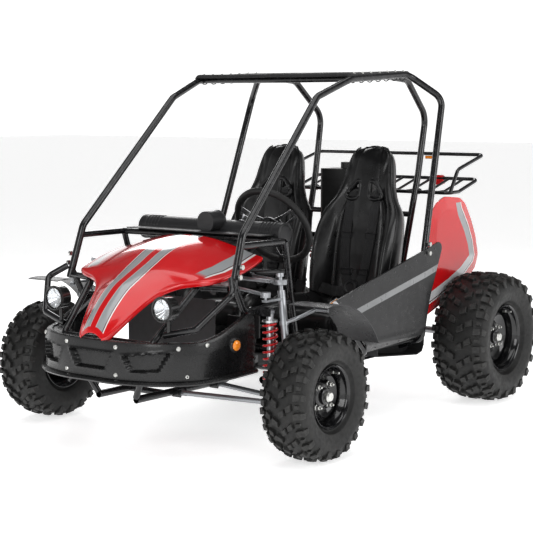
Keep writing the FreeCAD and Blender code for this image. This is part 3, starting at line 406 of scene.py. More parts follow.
def clear_glass():
    f = Finish("lamp_glass", coat=1.0)
    rays = f.noise(180.0, 2.0)
    f.colour(f.mix(rays, (0.92, 0.94, 0.96), (0.99, 0.99, 1.0)))
    f.rough(f.spread(rays, 0.3, 0.7, 0.01, 0.05))
    f.surface.inputs["Transmission Weight"].default_value = 0.96
    f.surface.inputs["IOR"].default_value = 1.45
    f.bump(rays, 0.06, 0.0005)
    return f.material


def tyre_rubber():
    """Dull black rubber with moulding flow, patches of dust and paler scuffed edges."""
    f = Finish("tyre_rubber")
    wide = f.noise(9.0, 5.0)
    tone = f.mix(f.spread(wide, 0.3, 0.7), (0.010, 0.010, 0.010), (0.022, 0.022, 0.021))
    scuffed = f.math("MULTIPLY", f.edges(0.51, 0.58), f.spread(f.noise(90.0), 0.4, 0.7, 0.1, 0.7))
    tone = f.mix(scuffed, tone, (0.065, 0.064, 0.062))
    f.colour(f.mix(f.spread(f.noise(30.0), 0.5, 0.8, 0.0, 0.12), tone, (0.09, 0.085, 0.078)))
    f.rough(f.spread(f.noise(70.0), 0.3, 0.7, 0.42, 0.64))
    f.bump(f.noise(120.0, 6.0), 0.35, 0.0012)
    f.bump(f.noise(900.0, 2.0), 0.2, 0.0003)
    return f.material


finishes["lamp_glass"] = clear_glass()
finishes["tyre_rubber"] = tyre_rubber()
print("finishes in all:", len(finishes))

# %% [markdown]
# ## Finishes for the frame's own parts
# Tubes, arms, springs and castings are already the right shape, so they stay and only take
# a finish. The table reads like a parts list: finish first, then the parts that wear it.

# %% Dress the working parts
parts_by_finish = {
    "powder_black": ("floor_frame", "front_frame", "roll_cage", "rear_frame", "side_guards",
                     "rear_rack"),
    "zinc": ("frame_bolts",),
    "floor_plastic": ("floor_pan",),
    "canopy_cloth": ("canopy",),
    "fascia_plastic": ("fascia",),
    "lamp_shell": ("headlight_cans",),
    "mesh_black": ("grilles",),
    "dash_plastic": ("dash", "gauge_pod"),
    "tank_plastic": ("fuel_tank", "fuel_cap"),
    "fender_plastic": ("fender_left", "fender_right", "side_panels"),
    "lamp_glass": ("headlight_lenses",),
    "amber_lens": ("amber_reflectors",),
    "tail_lens": ("tail_lights",),
    "seat_leather": ("seat_left", "seat_right"),
    "belt_web": ("harness_belts",),
    "silver_paint": ("lower_arm_left", "lower_arm_right", "upper_arm_left", "upper_arm_right",
                     "kingpin_left", "kingpin_right", "knuckle_left", "knuckle_right",
                     "tie_rod_left", "tie_rod_right"),
    "bright_steel": ("damper_bodies", "front_damper_rod_left", "front_damper_rod_right",
                     "rear_damper_rods", "steering_rack"),
    "turned_steel": ("rear_axle",),
    "spring_red": ("front_spring_left", "front_spring_right", "rear_springs"),
    "grip_rubber": ("steering_wheel",),
    "satin_black": ("steering_column", "swing_arm", "brake_pedal", "throttle_pedal"),
    "rim_black": ("front_rim_left", "front_rim_right", "rear_rims"),
    "tyre_rubber": ("front_tyre_left", "front_tyre_right", "rear_tyres"),
    "cast_grey": ("engine",),
    "heat_black": ("muffler",),
}


def dress(part, finish):
    part.data.materials.clear()
    part.data.materials.append(finishes[finish])


for finish, names in parts_by_finish.items():
    for name in names:
        dress(nodes[name], finish)
        for face in nodes[name].data.polygons:
            face.use_smooth = True
        nodes[name].data.set_sharp_from_angle(angle=math.radians(35))
print("dressed:", sum(len(n) for n in parts_by_finish.values()), "of", len(nodes))

# %% [markdown]
# ## Mesh helpers
# New pieces are plain lists of points and faces, turned into an object in one place. The
# helper also sets the finish and the body it rides on, so no piece can be left behind when
# the kart moves.

# %% Mesh helpers
def piece(name, points, faces, finish, body="chassis", smooth=True, sharp=35.0):
    mesh = bpy.data.meshes.new(name)
    mesh.from_pydata([tuple(p) for p in points], [], faces)
    mesh.validate()
    work = bmesh.new()
    work.from_mesh(mesh)
    bmesh.ops.recalc_face_normals(work, faces=work.faces)
    work.to_mesh(mesh)
    work.free()
    for face in mesh.polygons:
        face.use_smooth = smooth
    if smooth and sharp:
        mesh.set_sharp_from_angle(angle=math.radians(sharp))
    item = bpy.data.objects.new(name, mesh)
    bpy.context.collection.objects.link(item)
    mesh.materials.append(finishes[finish])
    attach(item, body)
    return item


class Build:
    """Gathers points and faces for one mesh out of repeated simple forms."""

    def __init__(self):
        self.points = []
        self.faces = []

    def grid(self, rows, close_rows=False, close_columns=False):
        """Join rows of points, each the same length, into a sheet."""
        base = len(self.points)
        count = len(rows[0])
        for row in rows:
            self.points += [Vector(p) for p in row]
        for i in range(len(rows) if close_rows else len(rows) - 1):
            j = (i + 1) % len(rows)
            for k in range(count if close_columns else count - 1):
                m = (k + 1) % count
                self.faces.append((base + i * count + k, base + i * count + m,
                                   base + j * count + m, base + j * count + k))
        return base

    def cap(self, first, count):
        self.faces.append(tuple(range(first, first + count)))

    def block(self, corners):
        """A six-sided block from its eight corners, four round the foot and four round the top."""
        base = len(self.points)
        self.points += [Vector(p) for p in corners]
        for face in ((3, 2, 1, 0), (4, 5, 6, 7), (0, 1, 5, 4), (1, 2, 6, 5), (2, 3, 7, 6), (3, 0, 4, 7)):
            self.faces.append(tuple(base + i for i in face))

    def tube(self, path, radius, sides=10, closed=False):
        """A round tube along a path of points."""
        path = [Vector(p) for p in path]
        rows = []
        normal = None
        for i, point in enumerate(path):
            before = path[i - 1] if i or closed else point
            after = path[(i + 1) % len(path)] if i < len(path) - 1 or closed else point
            way = (after - before).normalized()
            if normal is None:
                normal = way.orthogonal().normalized()
            normal = (normal - way * normal.dot(way)).normalized()
            other = way.cross(normal)
            r = radius(i / max(1, len(path) - 1)) if callable(radius) else radius
            rows.append([point + (normal * math.cos(a) + other * math.sin(a)) * r
                         for a in (2 * math.pi * k / sides for k in range(sides))])
        first = self.grid(rows, close_rows=closed, close_columns=True)
        if not closed:
            self.cap(first, sides)
            self.cap(first + sides * (len(path) - 1), sides)

    def lathe(self, profile, centre, axis, up, sides=48, close=True):
        """Turn a profile of (distance along the axis, radius) about an axis."""
        axis = Vector(axis).normalized()
        up = Vector(up).normalized()
        side = axis.cross(up)
        rows = []
        for k in range(sides):
            a = 2 * math.pi * k / sides
            out = up * math.cos(a) + side * math.sin(a)
            rows.append([Vector(centre) + axis * t + out * r for t, r in profile])
        self.grid(rows, close_rows=True, close_columns=close)


def curve_through(points, steps):
    """Points evenly spread along a smooth line through the given ones."""
    pts = [Vector(p) for p in points]
    pts = [pts[0] * 2 - pts[1]] + pts + [pts[-1] * 2 - pts[-2]]
    found = []
    spans = len(pts) - 3
    for k in range(steps):
        t = k / (steps - 1) * spans
        i = min(int(t), spans - 1)
        u = t - i
        a, b, c, d = pts[i:i + 4]
        found.append(0.5 * (2 * b + (c - a) * u + (2 * a - 5 * b + 4 * c - d) * u * u
                            + (3 * b - a - 3 * c + d) * u ** 3))
    return found


def soften(item, levels=1, bevel=0.0, segments=2):
    if bevel:
        edge = item.modifiers.new("bevel", "BEVEL")
        edge.width = bevel
        edge.segments = segments
        edge.limit_method = "ANGLE"
        edge.angle_limit = math.radians(30)
    if levels:
        smooth = item.modifiers.new("smooth", "SUBSURF")
        smooth.levels = levels
        smooth.render_levels = levels
    return item


def place_on_panel(item, rule):
    """Store on every point the place that the striped finishes read: rule(point) -> (a, b, c)."""
    spots = item.data.attributes.new("panel_place", "FLOAT_VECTOR", "POINT")
    for i, vertex in enumerate(item.data.vertices):
        spots.data[i].vector = rule(vertex.co)


print("mesh helpers ready")

# %% [markdown]
# ## The hood
# The hood is one vacuum-formed sheet: a crowned spine that widens from the beak into two
# wings beside the pillars. It is drawn as ten cross sections, each from the spine to the
# edge, joined by smooth lines both ways, then given its thickness. The printed stripes
# follow the spine, and a second pair follows the edge of each wing.

# %% Hood shape
hood_sections = (  # distance from the axle, half width, height at spine, shoulder and edge
    (-0.466, 0.050, 0.458, 0.456, 0.438),
    (-0.452, 0.070, 0.484, 0.480, 0.446),
    (-0.404, 0.096, 0.544, 0.537, 0.490),
    (-0.330, 0.128, 0.609, 0.600, 0.552),
    (-0.270, 0.158, 0.641, 0.632, 0.592),
    (-0.222, 0.218, 0.664, 0.655, 0.622),
    (-0.180, 0.318, 0.684, 0.676, 0.638),
    (-0.100, 0.352, 0.724, 0.714, 0.654),
    (0.000, 0.364, 0.754, 0.744, 0.680),
    (0.092, 0.352, 0.772, 0.762, 0.704))
lip_drop = 0.016


def hood_line(y, half, spine, shoulder, edge):
    """Half a cross section, from the spine out to the lip."""
    knee = shoulder - (shoulder - edge) * 0.42
    points = [(0, spine), (half * 0.16, spine - 0.001), (half * 0.36, shoulder), (half * 0.66, knee),
              (half * 0.88, edge + (knee - edge) * 0.34), (half * 0.975, edge + 0.004),
              (half, edge - 0.004), (half * 0.985, edge - lip_drop)]
    return curve_through([(x, y, z) for x, z in points], 24)


def hood_sheet():
    halves = [hood_line(*s) for s in hood_sections]
    lines = [curve_through([row[k] for row in halves], 46) for k in range(24)]
    rows = [[lines[k][j] for k in range(24)] for j in range(46)]
    full = [[Vector((-p.x, p.y, p.z)) for p in reversed(row[1:])] + row for row in rows]
    sheet = Build()
    sheet.grid([[p + Vector((0, axle_y, 0)) for p in row] for row in full])
    return sheet


def hood_stripes(f, across, along, share):
    side = f.math("ABSOLUTE", across)
    behind = f.between(along, -0.455, 0.2)
    wing = f.math("MULTIPLY", f.between(along, -0.165, 0.2, 0.01),
                  f.between(share, 0.745, 0.875, 0.004))
    wing_pin = f.math("MULTIPLY", f.between(along, -0.172, 0.2, 0.006),
                      f.between(share, 0.885, 0.915, 0.004))
    wing_dark = f.math("MULTIPLY", f.between(along, -0.168, 0.2, 0.008),
                       f.between(share, 0.873, 0.886, 0.003))
    return [(f.math("MULTIPLY", f.between(side, 0.0150, 0.0440), behind), stripe_grey),
            (f.math("MULTIPLY", f.between(side, 0.0440, 0.0462), behind), (0.01, 0.01, 0.01)),
            (f.math("MULTIPLY", f.between(side, 0.0462, 0.0500), behind), stripe_white),
            (f.math("MULTIPLY", f.between(side, 0.0128, 0.0150), behind), (0.62, 0.62, 0.62)),
            (wing, stripe_grey), (wing_dark, (0.01, 0.01, 0.01)), (wing_pin, stripe_white)]


finishes["hood_red"] = gloss_red("hood_red", hood_stripes)
sheet = hood_sheet()
hood = piece("hood_shell", sheet.points, sheet.faces, "hood_red", sharp=60)
half_widths = [(s[0], s[1]) for s in hood_sections]


def hood_half(y):
    for (y0, w0), (y1, w1) in zip(half_widths, half_widths[1:]):
        if y <= y1:
            return w0 + (w1 - w0) * max(0.0, y - y0) / (y1 - y0)
    return half_widths[-1][1]


def hood_place(p):
    y = p.y - axle_y
    spread = 1.0 + 0.4 * max(0.0, (y + 0.46) / 0.55)
    return p.x / spread, y, abs(p.x) / hood_half(y)


place_on_panel(hood, hood_place)
thick = hood.modifiers.new("thickness", "SOLIDIFY")
thick.thickness = 0.003
thick.offset = -1.0
soften(hood, 1)
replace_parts(hood, "hood")
print("hood points:", len(hood.data.vertices))

# %% [markdown]
# ## Side panels
# The door sills are riveted black sheet with a folded lower edge. The rear quarter panels are
# gloss red with a stripe that runs parallel to their outer edge. Both kinds are flat in one
# direction, so a panel is drawn as its outline, filled by rings that shrink towards a
# middle point, and each point keeps its distance from the outline for the stripes.

# %% Panel builder
def along_outline(outline, spacing=0.012):
    """The outline's points with more added along its straight sides."""
    found = []
    for a, b in zip(outline, outline[1:] + outline[:1]):
        a, b = Vector(a), Vector(b)
        steps = max(1, round((b - a).length / spacing))
        found += [a.lerp(b, i / steps) for i in range(steps)]
    return found


def rounded_outline(outline, radius=0.018, steps=4):
    """Replace each corner by a short curve."""
    found = []
    count = len(outline)
    for i in range(count):
        before, here, after = (Vector(outline[i - 1]), Vector(outline[i]),
                               Vector(outline[(i + 1) % count]))
        start = here + (before - here).normalized() * min(radius, (before - here).length * 0.45)
        end = here + (after - here).normalized() * min(radius, (after - here).length * 0.45)
        for k in range(steps + 1):
            t = k / steps
            found.append(start * (1 - t) ** 2 + here * 2 * t * (1 - t) + end * t ** 2)
    return found


def line_distance(p, line):
    """The shortest distance from a point to an open line of points."""
    best = 9.0
    for a, b in zip(line, line[1:]):
        a, b = Vector(a), Vector(b)
        way = b - a
        t = max(0.0, min(1.0, (p - a).dot(way) / way.length_squared))
        best = min(best, (p - a - way * t).length)
    return best


def panel(name, outline, middle, outward, side, finish, rolled=0.006, rings=12):
    """A thin panel on one side. outline and middle are (along, up) from the axle and the ground,
    and outward(along, up) gives how far from the centre plane the skin lies."""
    rim = along_outline(rounded_outline(outline))
    rows = []
    for step in range(rings + 1):
        share = 1.0 - (step / rings) ** 1.6
        row = []
        for p in rim:
            q = Vector(middle).lerp(p, max(share, 0.02))
            row.append(at(side * outward(q.x, q.y), q.x, q.y))
        rows.append(row)
    fold = [p + Vector((-side * rolled, 0, 0)) for p in rows[0]]
    sheet = Build()
    sheet.grid([fold] + rows, close_columns=True)
    count = len(rim)
    sheet.cap(len(sheet.points) - count, count)
    item = piece(name, sheet.points, sheet.faces, finish, sharp=50)
    thick = item.modifiers.new("thickness", "SOLIDIFY")
    thick.thickness = 0.0025
    thick.offset = 0.0
    return item


print("panel builder ready")

# %% Rear quarter panels
rear_outline = [(1.178, 0.853), (1.245, 0.875), (1.375, 0.864), (1.422, 0.838), (1.478, 0.765),
                (1.520, 0.690), (1.546, 0.604), (1.520, 0.548), (1.415, 0.483), (1.300, 0.440),
                (1.190, 0.407), (1.050, 0.366), (1.058, 0.450), (1.090, 0.640), (1.118, 0.690),
                (1.112, 0.720), (1.124, 0.806)]
stripe_guide = [(1.422, 0.838), (1.478, 0.765), (1.520, 0.690), (1.546, 0.604), (1.520, 0.548),
                (1.415, 0.483), (1.300, 0.440), (1.190, 0.407), (1.050, 0.366), (0.95, 0.335)]
rear_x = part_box("rear_panels")[1][0]


def rear_outward(along, up):
    """The panel bulges a little between its edges."""
    inside = line_distance(Vector((along, up)), rear_outline + rear_outline[:1])
    return rear_x - 0.008 + 0.008 * min(1.0, inside / 0.05)


def rear_stripes(f, gap, along, up):
    below = f.between(up, 0.30, 0.845)
    return [(f.math("MULTIPLY", f.between(gap, 0.052, 0.088), below),
             f.mix(f.spread(up, 0.60, 0.62), (0.62, 0.62, 0.63), stripe_grey)),
            (f.math("MULTIPLY", f.between(gap, 0.048, 0.052), below), (0.01, 0.01, 0.01)),
            (f.math("MULTIPLY", f.between(gap, 0.041, 0.048), below), stripe_white)]


finishes["quarter_red"] = gloss_red("quarter_red", rear_stripes)
quarter_panels = []
for side, word in ((1, "left"), (-1, "right")):
    quarter = panel("quarter_panel_" + word, rear_outline, (1.26, 0.64), rear_outward, side,
                    "quarter_red", rings=22)
    place_on_panel(quarter, lambda p: (line_distance(Vector((p.y - axle_y, p.z)), stripe_guide),
                                       p.y - axle_y, p.z))
    quarter_panels.append(quarter)
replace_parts(quarter_panels[0], "rear_panels")
print("quarter panels:", len(quarter_panels))

# %% Door sills
sill_outline = [(0.292, 0.512), (0.318, 0.530), (1.030, 0.704), (1.050, 0.690), (1.052, 0.672),
                (0.960, 0.480), (0.925, 0.350), (0.880, 0.326), (0.560, 0.300), (0.500, 0.355)]
sill_front_x, sill_rear_x = 0.522, 0.557


def sill_outward(along, up):
    """Outward with distance along, with a raised moulding low down and a folded foot."""
    share = min(1.0, max(0.0, (along - 0.29) / 0.64))
    x = sill_front_x + (sill_rear_x - sill_front_x) * share
    ridge = math.exp(-((up - 0.352 + (0.93 - along) * 0.02) / 0.010) ** 2)
    foot = max(0.0, 0.335 - up) * 0.9
    return min(x + 0.004 * ridge - foot, 0.5575)


def sill_finish():
    """Grained black sheet with a grey band that climbs to the rear, its brightness varied by painted sheen,
    and a pale front edge that is a painted highlight.
    """
    f = Finish("sill_black", coat=0.15)
    spot = f.add("ShaderNodeAttribute", attribute_name="panel_place")
    parts = f.add("ShaderNodeSeparateXYZ")
    f.put(parts.inputs[0], spot.outputs["Vector"])
    along, level, front = parts.outputs[0], parts.outputs[1], parts.outputs[2]
    tone = f.mix(f.spread(f.noise(8.0), 0.3, 0.7), (0.012, 0.012, 0.013), (0.02, 0.02, 0.021))
    band = f.math("MULTIPLY", f.between(level, 0.0, 0.026), f.between(front, 0.012, 2.0))
    # The grey band's brightness varies with a painted sheen.
    painted_sheen = f.spread(f.noise(3.0), 0.35, 0.7)
    tone = f.mix(band, tone, f.mix(painted_sheen, (0.24, 0.245, 0.25), (0.34, 0.345, 0.35)))
    # The pale strip along the front edge is a painted highlight.
    edge = f.math("MULTIPLY", f.between(front, 0.012, 0.030), f.between(along, 0.30, 0.458))
    tone = f.mix(edge, tone, (0.55, 0.55, 0.56))
    f.colour(tone)
    f.rough(f.spread(f.noise(40.0), 0.3, 0.7, 0.24, 0.4))
    f.bump(f.cells(800.0), 0.18, 0.0004)
    f.bump(f.noise(7.0, 2.0), 0.12, 0.003)
    return f.material


finishes["sill_black"] = sill_finish()
front_edge = [(0.292, 0.512), (0.500, 0.355), (0.540, 0.32)]


def sill_place(p):
    along = p.y - axle_y
    return along, p.z - (0.436 + (along - 0.343) * 0.222), line_distance(Vector((along, p.z)), front_edge)


sills = []
for side, word in ((1, "left"), (-1, "right")):
    sill = panel("door_sill_" + word, sill_outline, (0.74, 0.48), sill_outward, side,
                 "sill_black", rings=30)
    place_on_panel(sill, sill_place)
    sills.append(sill)
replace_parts(sills[0], "side_panels")


def rivet_heads():
    heads = Build()
    spots = [(0.345 + 0.072 * k, 0.522 + 0.0172 * k) for k in range(10)]
    spots += [(0.60 + 0.075 * k, 0.318 + 0.004 * k) for k in range(4)]
    spots += [(0.40, 0.452), (0.465, 0.404)]
    for side in (-1, 1):
        for along, up in spots:
            x = sill_outward(along, up)
            heads.lathe([(-0.001, 0.0001), (-0.001, 0.0052), (0.0008, 0.0050), (0.0026, 0.0034),
                         (0.0032, 0.0001)], at(side * x, along, up), (side, 0, 0), (0, 0, 1), 12)
    return heads


heads = rivet_heads()
finishes["rivet_dark"] = painted("rivet_dark", (0.03, 0.03, 0.032), (0.2, 0.2, 0.2), (0.2, 0.35))
piece("sill_rivets", heads.points, heads.faces, "rivet_dark")
print("sills and rivets placed")

# %% [markdown]
# ## Seats
# Each seat is a foam bucket under glossy black leather: a flat cushion and back between
# raised side bolsters, wide shoulders, a rounded head and two openings for the harness. One
# smooth centre line runs from the front of the cushion to the top of the head. Cross
# sections stand on it, and their width and bolster height change along it.

# %% Seat surface
seat_x = 0.5 * (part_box("seat_left")[0][0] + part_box("seat_left")[1][0])
seat_line = (  # along the kart, height, half width, bolster height, shell thickness
    (0.572, 0.345, 0.170, 0.010, 0.040), (0.548, 0.385, 0.182, 0.026, 0.055),
    (0.553, 0.428, 0.188, 0.046, 0.075), (0.600, 0.440, 0.191, 0.056, 0.090),
    (0.700, 0.430, 0.193, 0.060, 0.085), (0.800, 0.420, 0.193, 0.064, 0.080),
    (0.862, 0.430, 0.192, 0.072, 0.070), (0.888, 0.480, 0.193, 0.082, 0.060),
    (0.900, 0.560, 0.197, 0.086, 0.056), (0.917, 0.660, 0.200, 0.080, 0.054),
    (0.935, 0.740, 0.198, 0.064, 0.052), (0.953, 0.815, 0.184, 0.040, 0.050),
    (0.968, 0.875, 0.146, 0.020, 0.048), (0.982, 0.930, 0.124, 0.010, 0.050),
    (0.998, 0.990, 0.112, 0.007, 0.052), (1.014, 1.045, 0.098, 0.006, 0.048),
    (1.028, 1.078, 0.078, 0.004, 0.036), (1.044, 1.091, 0.052, 0.002, 0.018))
seat_rows = 64
seam_at = 0.56


def seat_profile():
    """The seat line's numbers, smoothed and evenly spread: (place, width, bolster, shell)."""
    spots = curve_through([(0, s[0], s[1]) for s in seat_line], seat_rows)
    sizes = curve_through([(s[2], s[3], s[4]) for s in seat_line], seat_rows)
    return list(zip(spots, sizes))


def ease(t):
    t = max(0.0, min(1.0, t))
    return t * t * (3 - 2 * t)


def seat_lift(share, bolster, width):
    """How far the leather stands above the centre line, by its share of the half width."""
    t = abs(share)
    crown = 0.007 * (1 - (t / seam_at) ** 2) if t < seam_at else 0.0
    rise = bolster * ease((t - seam_at) / 0.30)
    groove = -0.006 * math.exp(-((t - seam_at) / 0.030) ** 2) * min(1.0, bolster / 0.03)
    shoulder = -0.5 * (bolster + 0.012) * ease((t - 0.86) / 0.14) ** 2
    return crown + rise + groove + shoulder


profile = seat_profile()


def seat_frame(i):
    """The place, forward direction and size numbers of one cross section."""
    spot, size = profile[i]
    before, after = profile[max(0, i - 1)][0], profile[min(seat_rows - 1, i + 1)][0]
    way = (after - before).normalized()
    out = Vector((0, -way.z, way.y))
    return spot, out, size


def seat_point(i, share, extra=0.0, centre=None):
    spot, out, (width, bolster, shell) = seat_frame(i)
    p = spot + out * (seat_lift(share, bolster, width) + extra)
    return at((seat_x if centre is None else centre) + share * width, p.y, p.z)


def seat_mesh(centre):
    shares = [k / 20.0 for k in range(-20, 21)]
    build = Build()
    rows = []
    for i in range(seat_rows):
        spot, out, (width, bolster, shell) = seat_frame(i)
        front = [seat_point(i, t, 0.0, centre) for t in shares]
        edge = 0.5 * bolster - 0.006
        rear = []
        for t, depth in ((1.01, 0.35), (0.97, 0.8), (0.80, 1.0), (0.4, 1.05), (0.0, 1.06),
                         (-0.4, 1.05), (-0.80, 1.0), (-0.97, 0.8), (-1.01, 0.35)):
            p = spot + out * (edge * (1 - depth) - shell * depth)
            rear.append(at(centre + t * width, p.y, p.z))
        rows.append(front + rear)
    first = build.grid(rows, close_columns=True)
    count = len(rows[0])
    build.cap(first, count)
    build.cap(first + count * (seat_rows - 1), count)
    return build


def row_at_height(height):
    """The cross section on the seat's back nearest to a height."""
    tall = [i for i in range(seat_rows) if profile[i][0].y > 0.86]
    return min(tall, key=lambda i: abs(profile[i][0].z - height))


print("seat sections:", seat_rows)

# %% [markdown]
# Foam under leather pulls in at its seams and swells between them. The swell is made by a
# short cloth simulation with air pressure, held still along the seams, on the seat's own
# surface. It is applied to the mesh, so the seat holds only its final shape.

# %% Swell the leather
def swell(item, pinned, pressure=3.0, frames=14, reach=0.010):
    """Inflate a closed mesh a little. pinned(point) is 1 where a seam holds the cover."""
    rest = [v.co.copy() for v in item.data.vertices]
    group = item.vertex_groups.new(name="seams")
    for i, co in enumerate(rest):
        group.add([i], pinned(co), "REPLACE")
    cloth = item.modifiers.new("cover", "CLOTH")
    cloth.settings.use_pressure = True
    cloth.settings.uniform_pressure_force = pressure
    cloth.settings.vertex_group_mass = "seams"
    cloth.settings.tension_stiffness = 25
    cloth.settings.compression_stiffness = 25
    cloth.settings.effector_weights.gravity = 0.0
    cloth.point_cache.frame_start = 1
    cloth.point_cache.frame_end = frames
    for step in range(1, frames + 1):
        bpy.context.scene.frame_set(step)
    seen = item.evaluated_get(bpy.context.evaluated_depsgraph_get()).data
    moved = [v.co.copy() for v in seen.vertices]
    item.modifiers.remove(cloth)
    item.vertex_groups.remove(group)
    furthest = 0.0
    for vertex, old, new in zip(item.data.vertices, rest, moved):
        step = new - old
        furthest = max(furthest, step.length)
        if step.length > reach:
            step *= reach / step.length
        vertex.co = old + step
    bpy.context.scene.frame_set(1)
    print(item.name, "swelled by up to", round(furthest, 4))


def seam_hold(centre):
    def hold(p):
        share = abs(p.x - centre) / 0.19
        rear = p.y - axle_y > 1.02 and p.z < 1.0
        near = min(abs(share - seam_at), abs(share - 0.97))
        return 1.0 if near < 0.05 or rear or p.z < 0.40 else 0.12
    return hold


def harness_slot(centre, side, inset=0.0):
    """The outline of one slanted opening in the seat's back, as (across, height)."""
    corners = [(0.024, 0.878), (0.022, 0.944), (0.040, 0.948), (0.078, 0.906), (0.090, 0.880),
               (0.058, 0.868)]
    middle = Vector((0.048, 0.906))
    line = rounded_outline([Vector(c) + (middle - Vector(c)).normalized() * inset for c in corners],
                           0.016, 4)
    return [(centre + side * p.x, p.y) for p in line]


def cut_slots(item, centre):
    """Cut the two openings right through the back."""
    for side in (-1, 1):
        line = harness_slot(centre, side)
        cutter = Build()
        cutter.grid([[at(x, y, z) for x, z in line] for y in (0.88, 1.14)], close_columns=True)
        cutter.cap(0, len(line))
        cutter.cap(len(line), len(line))
        tool = piece("slot_cutter", cutter.points, cutter.faces, "seat_leather", smooth=False)
        cut = item.modifiers.new("slot", "BOOLEAN")
        cut.operation = "DIFFERENCE"
        cut.object = tool
        bpy.context.view_layer.objects.active = item
        with bpy.context.temp_override(object=item, active_object=item):
            bpy.ops.object.modifier_apply(modifier="slot")
        bpy.data.objects.remove(tool)


def front_of_back(z):
    """Where the leather's middle lies along the kart, at a height on the seat's back."""
    spot = profile[row_at_height(z)][0]
    return spot.y - 0.004


for side, word in ((1, "left"), (-1, "right")):
    centre = side * seat_x
    form = seat_mesh(centre)
    seat = piece("bucket_" + word, form.points, form.faces, "seat_leather", sharp=0)
    swell(seat, seam_hold(centre))
    cut_slots(seat, centre)
    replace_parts(seat, "seat_" + word)
    piping = Build()
    for share in (-0.97, -seam_at - 0.03, -seam_at + 0.02, seam_at - 0.02, seam_at + 0.03, 0.97):
        outer = abs(share) > 0.9
        first = 2 if outer else 5
        last = seat_rows - (2 if outer else 17)
        piping.tube([seat_point(i, share, 0.001, centre) for i in range(first, last)], 0.0032, 8)
    for turn in (-1, 1):
        rim = harness_slot(centre, turn)
        piping.tube([at(x, front_of_back(z) - 0.004, z) for x, z in rim], 0.0105, 10, closed=True)
    trim = piece("seat_trim_" + word, piping.points, piping.faces, "seat_leather",
                 sharp=0)
print("seats built")

# %% [markdown]
# ## Harness
# Two shoulder straps come through the openings and run down the back to a buckle, with a lap
# strap to each side. Webbing is flat, so each strap is a thin ribbon that follows a line of
# points, not a simulated cloth.

# %% Straps and buckles
def ribbon(build, path, across, width=0.044, thick=0.0026):
    """A flat strap along a path. across is the direction of its width."""
    path = curve_through(path, 28)
    across = Vector(across).normalized()
    rows = []
    for i, p in enumerate(path):
        way = (path[min(i + 1, len(path) - 1)] - path[max(i - 1, 0)]).normalized()
        wide = (across - way * across.dot(way)).normalized()
        up = wide.cross(way) * (thick / 2)
        half = wide * (width / 2)
        rib = wide * (width * 0.40)
        rows.append([p - half - up * 0.5, p - rib - up * 1.5, p - up, p + rib - up * 1.5,
                     p + half - up * 0.5, p + half + up * 0.5, p + rib + up * 1.5, p + up,
                     p - rib + up * 1.5, p - half + up * 0.5])
    first = build.grid(rows, close_columns=True)
    build.cap(first, 10)
    build.cap(first + 10 * (len(rows) - 1), 10)


def seat_back_path(centre, points, lift):
    """Places on the seat's back from (across, height) pairs, a little in front of the leather."""
    found = []
    for x, z in points:
        i = row_at_height(z)
        found.append(seat_point(i, x / profile[i][1].x, lift, centre))
    return found


straps, buckles = Build(), Build()
for side in (-1, 1):
    centre = side * seat_x
    for turn in (-1, 1):
        path = [at(centre + turn * 0.056, 1.015, 0.915), at(centre + turn * 0.056, 0.972, 0.902)]
        path += seat_back_path(centre, [(turn * 0.060, 0.862), (turn * 0.062, 0.78), (turn * 0.058, 0.68),
                                        (turn * 0.046, 0.58), (turn * 0.026, 0.51)], 0.006)
        ribbon(straps, path, (1, 0, 0))
        lap = [seat_point(row_at_height(0.49), turn * t, 0.012 + 0.004 * t, centre)
               for t in (0.14, 0.35, 0.52)]
        lap += [at(centre + turn * 0.150, 0.835, 0.506), at(centre + turn * 0.188, 0.850, 0.508),
                at(centre + turn * 0.203, 0.872, 0.470), at(centre + turn * 0.204, 0.885, 0.400)]
        ribbon(straps, lap, (0, 0.3, 1))
        for height in (0.72, 0.56):
            spot = seat_back_path(centre, [(turn * (0.062 if height > 0.6 else 0.042), height)], 0.009)[0]
            buckles.tube([spot + Vector((dx, 0.0, dz)) for dx, dz in
                          ((-0.027, -0.012), (0.027, -0.012), (0.027, 0.012), (-0.027, 0.012))],
                         0.0024, 8, closed=True)
    hub = seat_point(row_at_height(0.492), 0.0, 0.022, centre)
    buckles.lathe([(-0.016, 0.001), (-0.016, 0.030), (0.000, 0.034), (0.008, 0.030), (0.010, 0.022),
                   (0.007, 0.018), (0.007, 0.001)], hub, (0, -1, 0.25), (0, 0.25, 1), 28)
web = piece("harness_straps", straps.points, straps.faces, "belt_web")
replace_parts(web, "harness_belts")
piece("harness_buckles", buckles.points, buckles.faces, "satin_black")
print("straps and buckles placed")

# %% [markdown]
# ## Canopy
# The canopy is one sheet of coated cloth stretched over the roof rails. It is pulled tight at
# each lace, so its edge runs in and out in shallow scallops, and it sags a little between the
# cross tubes. It is a grid of points whose height comes from those rules.

# %% Canopy sheet
canopy_low, canopy_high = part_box("canopy")
cloth_front = canopy_low[1] + 0.004
cloth_rear = canopy_high[1] - 0.004
cloth_half = canopy_high[0] + 0.012
lace_pitch = 0.062


def rail_height(y):
    share = (y - cloth_front) / (cloth_rear - cloth_front)
    return canopy_low[2] + 0.004 + (canopy_high[2] - canopy_low[2] - 0.012) * ease(share / 0.9)


